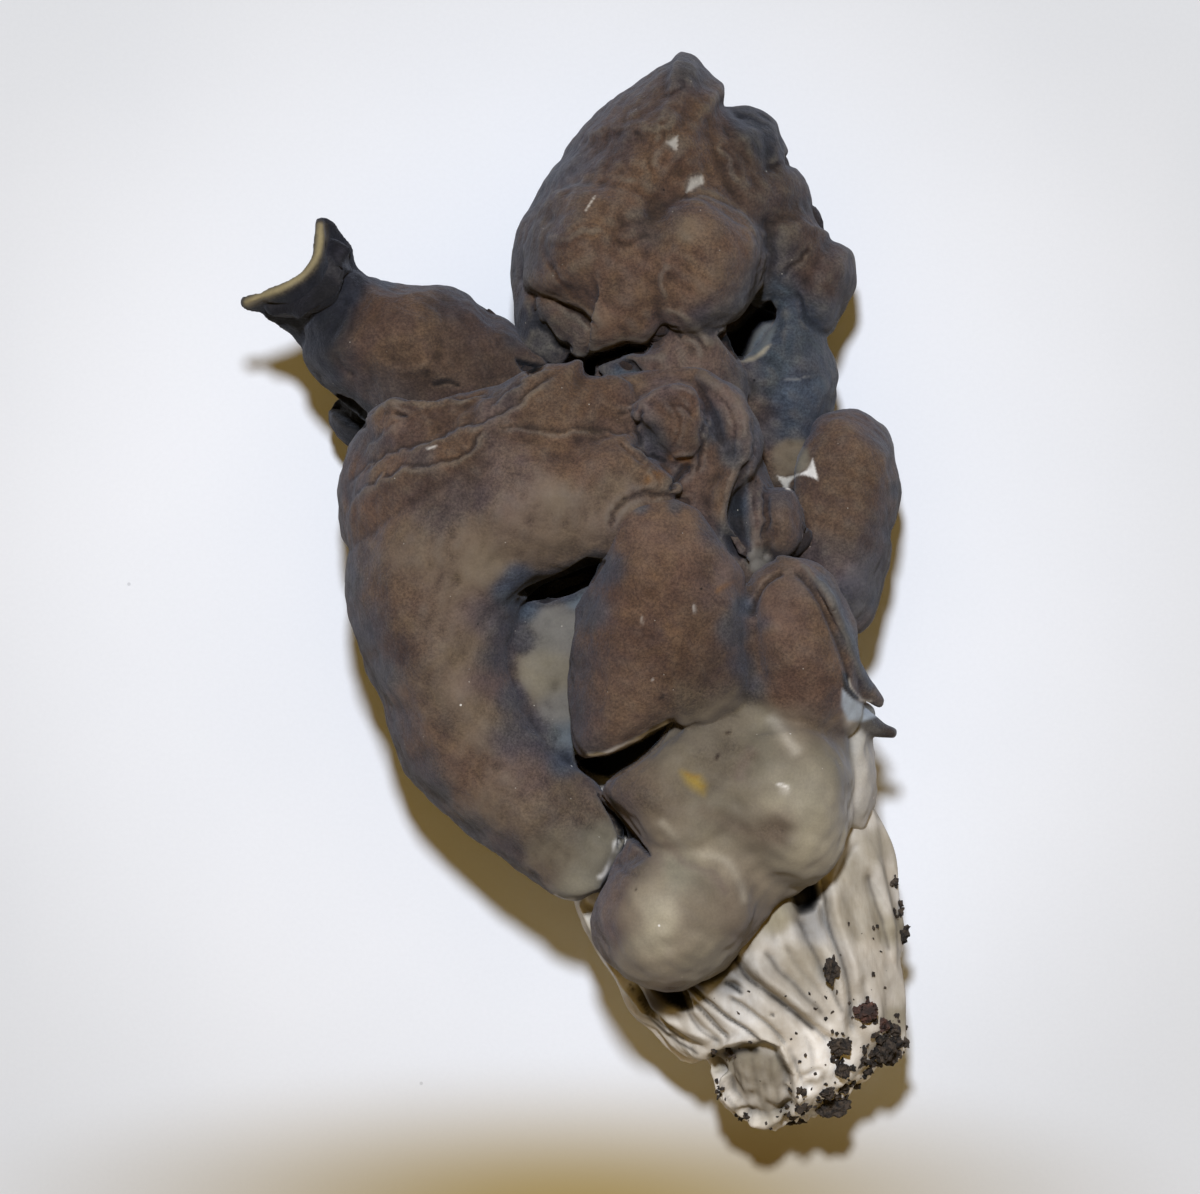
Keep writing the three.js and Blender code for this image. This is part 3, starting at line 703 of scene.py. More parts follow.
crestShape = {
    "seed": 11, "tone": (0.93, 0.9, 0.85), "loose": 0.8, "voxel": 0.28, "smoothing": 4, "triangles": 194000,
    "domes": [
        dict(crown=[8, 46, 37], curl=20, droop=4, segments=220, edge=[
            [-4.5, 35.4, 22], [-7, 36.6, 18], [-7.5, 41, 17], [-6.8, 44.5, 16], [-5, 47.6, 15.5],
            [-2.5, 51.6, 15], [0, 55.4, 15], [2.6, 58.4, 15], [5, 60.5, 15], [7.5, 62.2, 16], [10, 63.7, 17],
            [11.8, 64.7, 18.5], [12.7, 65.8, 19], [13.8, 65.7, 19], [15, 65, 19], [15.9, 63.6, 19],
            [17.1, 62.4, 19], [18.2, 61.7, 19], [18.1, 60.4, 19], [17.7, 58.6, 19], [18.6, 56.4, 19],
            [21, 51, 20], [22.4, 45, 20], [22.5, 39, 20], [20.5, 34, 21], [15, 32, 24], [7, 33, 28],
            [0, 35.4, 28]]),
        dict(crown=[3, 40.5, 40.5], curl=25, droop=2, power=0.75, segments=200, edge=[
            [-6.4, 38, 22], [-4.6, 36.4, 27], [-2.1, 35.5, 30], [1.3, 33.8, 31.5], [2.7, 32.4, 31.5],
            [2.4, 30.4, 31], [1.8, 29, 31], [3.8, 29.5, 31.5], [5.4, 30.1, 31.5], [6.4, 30.4, 32],
            [7.6, 30.1, 32], [8.8, 30.1, 32], [9.7, 31, 33], [10.4, 32.4, 34], [10.8, 36, 36], [10.5, 41, 36],
            [9, 47, 35], [4, 49.5, 33], [-2, 48.5, 30], [-5.5, 44, 23]]),
        dict(crown=[0.2, 32.6, 33.2], curl=0, power=0.6, edge=[
            [-4.4, 33.4, 28.6], [-3.8, 36.2, 30], [0.4, 36.4, 31.5], [3.4, 34.4, 32], [4.2, 31, 31.6],
            [2.6, 29.2, 29.6], [0.3, 28.6, 28], [-1, 29.9, 28], [-2.4, 30.4, 28], [-3.4, 31.8, 28]]),
        dict(crown=[-4.2, 32.4, 30], curl=15, power=0.7, edge=[
            [-6.9, 32.4, 20], [-7, 35.8, 20], [-6.8, 38.4, 21], [-3.6, 38.4, 25], [-1, 35, 26.5],
            [0.2, 30.6, 26.5], [-1.2, 27.8, 25], [-3.5, 27.4, 23.6], [-5.4, 28, 21], [-6.9, 29.4, 20]]),
        dict(crown=[15.5, 39.5, 41], curl=25, droop=2, edge=[
            [8, 36, 36], [8, 43, 36], [12, 47.5, 34], [18, 47, 31], [22.5, 43, 26], [22.5, 38, 25], [19, 33, 28],
            [13, 31, 32]]),
        dict(crown=[13.4, 28.6, 35], edge=[
            [5.8, 28.6, 30], [7.6, 29.3, 30], [9.2, 30.4, 31], [10.6, 32.8, 32], [14, 34, 33], [18, 32.6, 31],
            [19.4, 29, 28], [21, 25.5, 27], [20, 21, 28], [13, 21, 30], [9, 24.6, 30], [7, 26.8, 29]]),
        dict(crown=[5.4, 26.6, 31], edge=[
            [2.6, 28, 28], [4.4, 28.7, 28], [6.6, 28.6, 28], [9, 26.4, 29], [8.6, 23.5, 30], [5, 22.5, 30],
            [2.4, 25, 29]]),
        dict(crown=[24, 47, 28], curl=15, droop=2, segments=220, edge=[
            [15.5, 56, 22], [17, 58.4, 20], [18.6, 59.3, 19.5], [21, 59.2, 19], [23.2, 58.4, 18.5],
            [24.8, 57.2, 18], [24.9, 55.4, 17.5], [25.8, 53.9, 17.5], [25.4, 52.5, 17.5], [27, 52.1, 17.5],
            [27.9, 50.2, 17], [28.6, 47.3, 17], [29.9, 44.6, 17], [31, 43.2, 18], [29.5, 36, 18], [24, 34, 16],
            [19, 39, 19], [16, 48, 22]]),
        dict(crown=[30, 37.5, 25.5], curl=15, droop=2, edge=[
            [27, 41.5, 18], [29, 44.2, 17], [31, 43.4, 17], [33.2, 42.3, 17], [33.8, 41, 16], [33.7, 38, 16],
            [32.9, 35.3, 15], [31.8, 33, 15], [30.3, 31.5, 15], [28.4, 31.3, 15], [26.5, 33, 16],
            [25.5, 37, 18]]),
        dict(crown=[25, 27.5, 25], curl=15, droop=2, power=0.7, edge=[
            [17, 28, 22], [20, 29, 22], [21.4, 29.6, 22], [23, 31.4, 21], [24.6, 34, 20], [26, 37, 20],
            [29, 35, 18], [30.4, 31, 16], [31.7, 28, 15], [31.7, 25.6, 15], [31, 22, 15], [29.8, 18.6, 16],
            [29.2, 15.5, 17], [27.5, 13, 18], [24.6, 12.4, 19], [22, 13.5, 20], [18, 19, 22], [16, 24, 22]]),
        dict(crown=[18, 51.5, 31.6], curl=0, edge=[
            [13.4, 58.5, 28], [16.2, 59.4, 24], [20, 57.8, 21], [23.6, 55, 19.5], [25.2, 50.5, 19],
            [26.4, 45, 19.5], [23, 41, 24], [17, 44, 30], [13, 50, 32]]),
        dict(crown=[21.4, 25.4, 26.8], curl=0, edge=[
            [17.6, 28.6, 24.4], [21.4, 29, 23.8], [25.2, 27.6, 23], [25.6, 23.4, 23], [21, 21.2, 24],
            [17.4, 23, 25]]),
        dict(crown=[13, 39, 0], curl=5, inset=3, edge=[
            [-5.5, 30, 20], [-6, 42, 16], [0, 53.5, 15], [9.5, 62.5, 16], [16.5, 60, 17], [26, 50, 16],
            [31.5, 39, 15], [30.5, 29, 14], [23, 18.5, 15], [11, 16, 17], [-1, 22, 18]]),
    ],
    "grooves": [
        (0.55, 1.4, [(-3.2, 52.6), (0, 54), (3, 54), (6, 53.2), (8, 54.4), (10.5, 55.4)]),
        (0.3, 0.9, [(6, 52.5), (7, 50.5), (8.6, 49.5)]),
        (0.35, 1.1, [(3.5, 45), (7.5, 44.2), (10, 45.2), (12, 46.6)]),
        (0.2, 0.7, [(10.4, 43), (10.8, 41.4), (11, 40)]),
        (0.6, 0.25, [(-2.3, 35.2), (-0.4, 34.4), (1.2, 33.5), (2.1, 32.7), (2.7, 31.7)]),
        (0.6, 0.25, [(-3.9, 33.3), (-3, 31.8), (-2.1, 30.5), (-1, 30.1), (0, 29.2)]),
        (0.5, 0.25, [(10.3, 32.4), (11.8, 32), (13.2, 30.9)]),
        (0.6, 0.3, [(6, 28.2), (7.4, 27.2), (9, 26)]),
        (0.8, 0.8, [(22.9, 46.5), (23.5, 43), (23.7, 40), (23.4, 37)]),
        (0.3, 0.4, [(28.6, 42.4), (27, 40.6), (25.4, 39.2), (24.2, 37.9)]),
        (0.35, 0.9, [(17.4, 58.4), (18.4, 56), (20.3, 53), (21.5, 50), (22, 47)]),
        (0.25, 0.6, [(15, 53), (15.8, 51), (17, 49.4)]),
        (0.25, 0.5, [(11, 57.4), (10.6, 55.2), (9.4, 53), (9.2, 51.4), (10.2, 50)]),
        (0.25, 0.8, [(-5, 46.4), (-2.4, 45.4), (0, 45.8)]),
        (0.22, 0.6, [(4, 42.4), (6, 41.6), (7.6, 42.6), (9.4, 44)]),
        (0.2, 0.4, [(13.6, 62), (12, 60.2), (10.4, 59.2)]),
        (0.4, 0.45, [(-3, 40.2), (-1.6, 37.6), (0.4, 36.4)]),
        (0.45, 0.4, [(26.6, 37), (27.6, 34.4), (28.8, 32.4)]),
        (0.5, 0.5, [(25.5, 52.3), (24, 51.5), (22.3, 51.4)]),
        (0.4, 0.7, [(22.5, 45.4), (24.8, 45), (27.5, 46)]),
        (0.4, 0.5, [(19.6, 32.4), (22, 34), (24.5, 36.5)]),
    ],
    "ridges": [
        (0.25, 0.7, [(-1.2, 48.9), (0.5, 49.8), (4, 50.1), (8, 49.2)]),
        (0.5, 0.8, [(13.4, 47.4), (16, 47.8), (19, 46.6), (21.2, 44.4), (22.4, 41.8), (22.6, 38.8)]),
        (0.35, 0.6, [(0.5, 55.4), (5, 56.2), (10, 56), (13, 57.5)]),
        (0.3, 0.5, [(-3.6, 43), (-1, 42.4), (1.6, 43.4), (4, 43.6)]),
        (0.3, 0.45, [(11, 40), (10.4, 37.4), (11, 35)]),
        (0.3, 0.5, [(16.8, 54.6), (18.6, 51.6), (19.4, 49)]),
        (0.25, 0.45, [(-2.6, 35.9), (-0.2, 35), (1.6, 34.2), (2.8, 33)]),
        (0.45, 0.6, [(10, 34.4), (12.5, 33.6), (14.5, 32), (17, 29.6)]),
        (0.35, 0.5, [(13, 31.5), (14.5, 30), (15.5, 28)]),
    ],
    "lumps": [
        (16, 41.5, 6, 0.6), (1, 41, 6, 0.5), (-4.5, 46, 2.5, -0.3), (14, 52, 4, 0.4), (10, 60, 5, 0.3),
        (12.5, 50.8, 1.8, -0.3), (24, 48.5, 3, 0.5), (25.5, 43.5, 2.5, 0.5), (21.5, 55.5, 3, 0.4),
        (27, 28, 3, 0.5), (24, 24.5, 2, -0.5),
    ],
    # Painted light and shade mixed with the skin's tone: darker on the wing's outer edge, lighter on the front
    # lobe.
    "toneLightAndShade": [(0.5, 21.4, 56.4, 3), (0.6, 24.4, 52, 2.6), (0.75, 27, 47, 2.8), (0.8, 20.4, 51, 2.4),
               (0.6, 13.4, 63, 2.2), (0.8, -5.2, 45, 3), (0.84, 15.4, 48.2, 2.4), (1.35, 3.6, 32.4, 2),
               (1.15, 15.4, 36.4, 2.4)],
    "pits": mouthPits + [(0.5, 0.12, points) for points in crestScars],
    "melts": [(23, 37.5, 3), (20.5, 24.5, 3), (27.5, 35, 2), (22.5, 43, 2.6), (16, 55, 2.5), (15, 33.4, 1.6),
              (10, 44, 2.2), (10, 40, 2), (10, 36, 1.6), (4, 49, 2.4), (-3, 47, 2.2), (17.5, 57, 1.6),
              (20.5, 52, 2.4), (22, 47, 2.4), (21.2, 26, 1.6), (24.6, 16, 3), (27, 42, 2), (21.4, 25.4, 2.6),
              (23.6, 24.6, 2.2), (23, 56, 2.2), (25, 50, 2.4), (25.5, 46, 2.4)],
    "spots": {
        "darkUmber": [(8, 62, 3), (3, 57, 3), (12, 58, 3), (4, 52.5, 2), (11, 45.8, 1.8), (5, 44.5, 1.5),
                      (17, 56, 2), (20, 49, 3), (19, 53, 2.5), (25.5, 50, 2), (26, 45, 2.5), (29.5, 38.5, 2.6)],
        "lead": [(13, 63, 2.2), (0, 52, 2.2), (-5.8, 40, 1.6), (-4.6, 48, 1.2), (18.5, 34.5, 2), (21.4, 38, 1.4),
                 (16, 33, 1.8), (24.5, 42, 2), (21, 26, 1.8), (23, 21, 1.6), (-4, 30, 1.5), (4, 27.6, 0.9)],
        "umber": [(3, 47, 3), (2, 42, 3.5), (3, 38, 3), (6, 34, 2.5), (7, 39, 2.5), (8.5, 53, 1.5), (16, 45, 2.5),
                  (15, 41, 3), (19, 41, 2.5), (17, 37, 2.2), (13, 36.5, 2), (15.5, 49.5, 2)],
        "plum": [(-3, 45, 2.2), (23.4, 51.8, 1.4), (24, 47, 2.5), (31.5, 40, 2), (19, 25, 2), (-0.5, 32.6, 1.4),
                 (1, 49, 1.5), (6, 54, 1.6), (-3.6, 42, 1.4), (9, 42.6, 1.2), (7.6, 44.6, 1.2), (0.5, 45.4, 1.2)],
        "rust": [(-1, 38, 3), (10, 50.5, 2.5), (15, 53.5, 3), (14.5, 57.5, 2), (4.5, 42, 1.2)],
        "slate": [(-2.4, 51.6, 1.2), (21, 35, 1.6), (29, 34, 2), (25.5, 36.5, 1.8), (25, 34.5, 1.5),
                  (26, 30, 2.5), (28, 27, 2.5), (24, 27, 2), (25.5, 24, 2), (29, 23, 2), (26, 21, 1.5),
                  (24, 30, 1.2), (5.4, 27, 0.9)],
        "deepSlate": [(21, 56.8, 2.2), (24, 54.4, 2), (28, 47, 1), (32.8, 38, 1.2), (-5, 33, 1.5)],
        "mauve": [(11, 30, 2), (16, 28, 2), (22, 22, 1.5)],
        "steel": [(27.6, 24.8, 1.6), (29.6, 25.2, 1.2), (25.6, 24.4, 1.2), (7, 26, 0.7)],
        "olive": [(26.4, 17.6, 1)],
        "paleTan": [(13.5, 43.6, 1.4)],
        "tan": [(1.5, 38.6, 1.5), (17.6, 39, 1.4), (5.4, 36.6, 1.4)],
    },
    "lines": [
        ("chalk", 0.6, 0.09, [(1.4, 45.7), (2, 46.8), (2.7, 47.9)]),
        ("paleTan", 0.55, 0.4, [(-4.4, 36.4), (-2, 35.8), (0.2, 35), (2, 34), (3.2, 32.6)]),
        ("olive", 0.6, 0.4, [(0.4, 28.9), (2, 29.2), (3.8, 29.8), (6, 30.8), (8.6, 30.6), (9.8, 31.8)]),
        ("bone", 0.5, 0.35, [(0, 28.4), (0.6, 28.9), (1, 29.2)]),
        # Painted shade in the creases below the front lobe and beside the knot.
        ("shadeAndMarkBrown", 0.8, 0.16, [(10.3, 32.4), (11.8, 32), (13.2, 30.9)]),
        ("shadeAndMarkBlack", 0.8, 0.16, [(6, 28.2), (7.4, 27.2), (9, 26)]),
        ("shadeAndMarkBlack", 0.9, 0.2, [(8.6, 26.2), (9.6, 26.2), (10.4, 25.9)]),
        ("stone", 0.8, 0.14, [(6.9, 25.5), (7.2, 26), (7.8, 26), (8.1, 25.5), (7.7, 25), (7.2, 25.1)]),
        ("paleTan", 0.5, 0.6, [(10, 34.4), (12.5, 33.6), (14.5, 32), (17, 29.6)]),
        # Painted shade in the creases of the front lobe.
        ("shadeAndMarkBlack", 0.9, 0.12, [(-2.3, 35.2), (-0.4, 34.4), (1.2, 33.5), (2.1, 32.7), (2.7, 31.7)]),
        ("shadeAndMarkBlack", 0.9, 0.14, [(-3.9, 33.3), (-3, 31.8), (-2.1, 30.5), (-1, 30.1), (0, 29.2)]),
        ("shadeAndMarkBlack", 0.9, 0.2, [(-7.1, 30.8), (-6.9, 30)]),
        ("stone", 0.35, 0.12, [(24.9, 25.9), (27.4, 26.4), (30.1, 26.6)]),
        ("slate", 0.8, 0.14, [(18.1, 30.6), (19, 31.5), (19.8, 32.2)]),
        # Painted shade in the groove on the wing.
        ("shadeAndMarkBrown", 0.7, 0.25, [(28.4, 42.2), (27, 40.6), (25.4, 39.2), (24.2, 37.9)]),
        ("paleTan", 0.35, 0.4, [(13.4, 47.6), (16, 48), (19, 46.8), (21.2, 44.6), (22.5, 41.8)]),
        ("tan", 0.4, 0.4, [(-0.8, 49.2), (0.8, 50), (4, 50.3), (7.6, 49.4)]),
        ("steel", 0.7, 0.35, [(24.3, 37.5), (25.2, 37), (26, 36.2)]),
    ],
    "patches": [("chalk", 1.0, 0.14, points) for points in crestScars] + [
        ("mist", 0.9, 0.3, [(20, 28.4), (21.6, 28.6), (23.1, 29.7), (24, 31.5), (24.4, 33), (23, 33.2),
                            (21.8, 32.2), (21.2, 30.6), (20.6, 29)]),
        ("straw", 0.8, 0.25, [(20.1, 28.3), (21.6, 28.4), (22.9, 29.3), (23.7, 30.4), (23.1, 30.2), (21.9, 29.2)]),
        ("paleTan", 0.85, 0.6, [(23.8, 18), (25.6, 19), (27.8, 18.6), (28.4, 16.8), (27.6, 15), (24.4, 14.2)]),
        *sideGaps,
        ("deepSlate", 0.6, 0.5, [(17.9, 58.5), (20.5, 58.9), (24.2, 56.8), (25.2, 52.8), (22.6, 51.4), (21.4, 54),
                                 (19, 56.6)]),
    ],
}

growLobes("capCrest", crestShape).data.materials.append(capSkin)

earShape = {
    "seed": 31, "tone": 0.8, "steepShadeBlue": 0.6, "loose": 0.15, "dust": 0.1, "voxel": 0.24, "smoothing": 5,
    "triangles": 130000,
    "domes": [
        dict(crown=[-19, 31.5, 32], curl=20, droop=4, segments=180, edge=[
            [-32.6, 29.3, 20], [-31, 32, 20], [-28.5, 35.5, 21], [-26.2, 37.8, 21], [-24.6, 38.3, 20.5],
            [-22, 37.8, 19], [-18, 37.8, 19], [-15.5, 37.5, 19], [-12.6, 36.2, 20], [-10.2, 34.1, 21],
            [-7.2, 32.6, 22], [-3, 28, 26], [-5, 22, 27], [-14, 20, 27], [-22, 20, 24], [-27.5, 23.5, 18],
            [-30.6, 26, 18]]),
        dict(crown=[-11, 29.5, 31], curl=10, droop=2, edge=[
            [-15.8, 33.5, 26], [-13, 36, 23], [-10, 34, 22], [-7, 31.8, 23], [-5, 28, 25], [-9, 24, 26],
            [-15, 25, 26]]),
        dict(crown=[-27, 34.4, 28.6], curl=0, edge=[
            [-32.2, 32, 23.5], [-30.4, 36.6, 25.6], [-28, 39.4, 24.2], [-25.4, 38.8, 23], [-22, 35, 27],
            [-24, 30, 26], [-29, 29, 21.5]]),
        dict(crown=[-26, 21.5, 16], droop=2, edge=[
            [-29.5, 23.5, 9], [-26, 25, 12], [-22, 23, 14], [-21.5, 19, 12], [-26, 18, 8], [-29, 20, 8]]),
        dict(crown=[-19, 29, 9], curl=5, inset=2.5, edge=[
            [-29, 30, 19], [-26, 35.5, 20], [-20, 37, 19], [-12, 35, 20], [-5, 29, 22], [-5, 22, 22],
            [-14, 18, 20], [-24, 19, 18], [-29, 25, 17]]),
    ],
    "sheets": [dict(crown=[-29.5, 35, 27.2], thickness=1.0, dish=1.2, edge=[
        [-39.8, 35, 27], [-38.2, 35.6, 28.5], [-36.2, 36.3, 29.5], [-33.7, 37.4, 30], [-31.6, 39.1, 30],
        [-30.3, 41.2, 29.5], [-29.9, 43.4, 28.5], [-29.8, 45.6, 27], [-28.5, 45, 26], [-27, 42.8, 24.5],
        [-25.9, 40, 23.5], [-24.5, 37.5, 23.5], [-23, 33, 27], [-26, 28.5, 23], [-31.5, 28.7, 20],
        [-33, 30.4, 20], [-34.8, 32.2, 21.5], [-37.4, 33.6, 24]])],
    "grooves": [
        (0.6, 0.25, [(-17.2, 25.3), (-15, 25.8), (-13.2, 25.2)]),
        (0.4, 0.9, [(-16.2, 36.8), (-15.4, 33.5), (-16.2, 29.5), (-17.5, 27.2)]),
        (0.3, 0.8, [(-11, 35.2), (-9.2, 32), (-9, 29)]),
        (0.4, 0.5, [(-29, 29.8), (-27.4, 27.4), (-25.6, 26.2)]),
    ],
    "ridges": [
        (0.35, 0.6, [(-24.5, 30), (-22.5, 27.8), (-19, 27.2), (-16.8, 28.6)]),
        (0.35, 0.5, [(-26.4, 35.6), (-27.2, 32.6), (-28.8, 30)]),
    ],
    "lumps": [(-19.5, 31.5, 5, 0.5), (-12, 30.5, 3, 0.3), (-23.5, 33.5, 2.5, -0.25)],
    # Painted light and shade mixed with the skin's tone: lighter in the funnel.
    "toneLightAndShade": [(1.7, -29, 41, 2.4), (1.3, -26.6, 36.4, 2.2), (0.86, -15.6, 35, 2.2), (1.15, -11, 31.4, 2)],
    "pits": mouthPits,
    "spots": {
        "umber": [(-19, 31.5, 3.2), (-24, 29.5, 2)],
        "rust": [(-23, 34, 2.2), (-20, 35.5, 1.5)],
        "darkUmber": [(-12, 31, 2.5), (-9, 31, 2), (-10, 27.5, 1.8), (-18, 25, 1.8)],
        "plum": [(-14.5, 35, 1.5), (-24, 25.5, 2), (-20, 23.8, 1.5), (-27.5, 29, 1.5)],
        "lead": [(-7.5, 31, 1)],
        "ink": [(-30, 36, 3), (-34, 34.8, 2), (-31, 31, 1.5)],
        "deepSlate": [(-28, 40, 2), (-37, 34.8, 1.5), (-29, 43, 1.5), (-29.5, 27, 1.2), (-26, 20.5, 1.5)],
        "slate": [(-27, 36.5, 1), (-22.5, 38, 0.8)],
    },
    "melts": [(-27.4, 36.6, 2.8), (-28.6, 33.2, 2.8), (-30.4, 30.8, 2), (-28.6, 40, 1.4), (-16, 33, 2),
              (-13, 28, 2)],
    "washes": [
        ("ink", 0.95, 1.7, [(-44, 33), (-38.5, 40), (-34, 43), (-33, 48.6), (-27, 48.6), (-23, 39.6),
                            (-25.2, 36.4), (-26.6, 33), (-28.6, 29.4), (-31, 26), (-37, 28.6)]),
        # Painted shade under the ear's bulge.
        ("shadeAndMarkBlack", 0.75, 0.5, [(-31, 25), (-28, 25.6), (-24, 23), (-23.6, 19), (-26, 17), (-31, 20)]),
    ],
    "lines": [
        ("rim", 1.0, 0.55, [(-39.9, 35), (-37, 36.2), (-34.2, 37.4), (-32, 39), (-30.7, 40.8), (-30.3, 42.6),
                            (-30.3, 44.4), (-30, 45.3)]),
        # Painted shade in the crease under the ear's bulge.
        ("shadeAndMarkBlack", 0.9, 0.16, [(-17, 25.3), (-15, 25.7), (-13.4, 25.2)]),
    ],
}

growLobes("capEar", earShape).data.materials.append(capSkin)

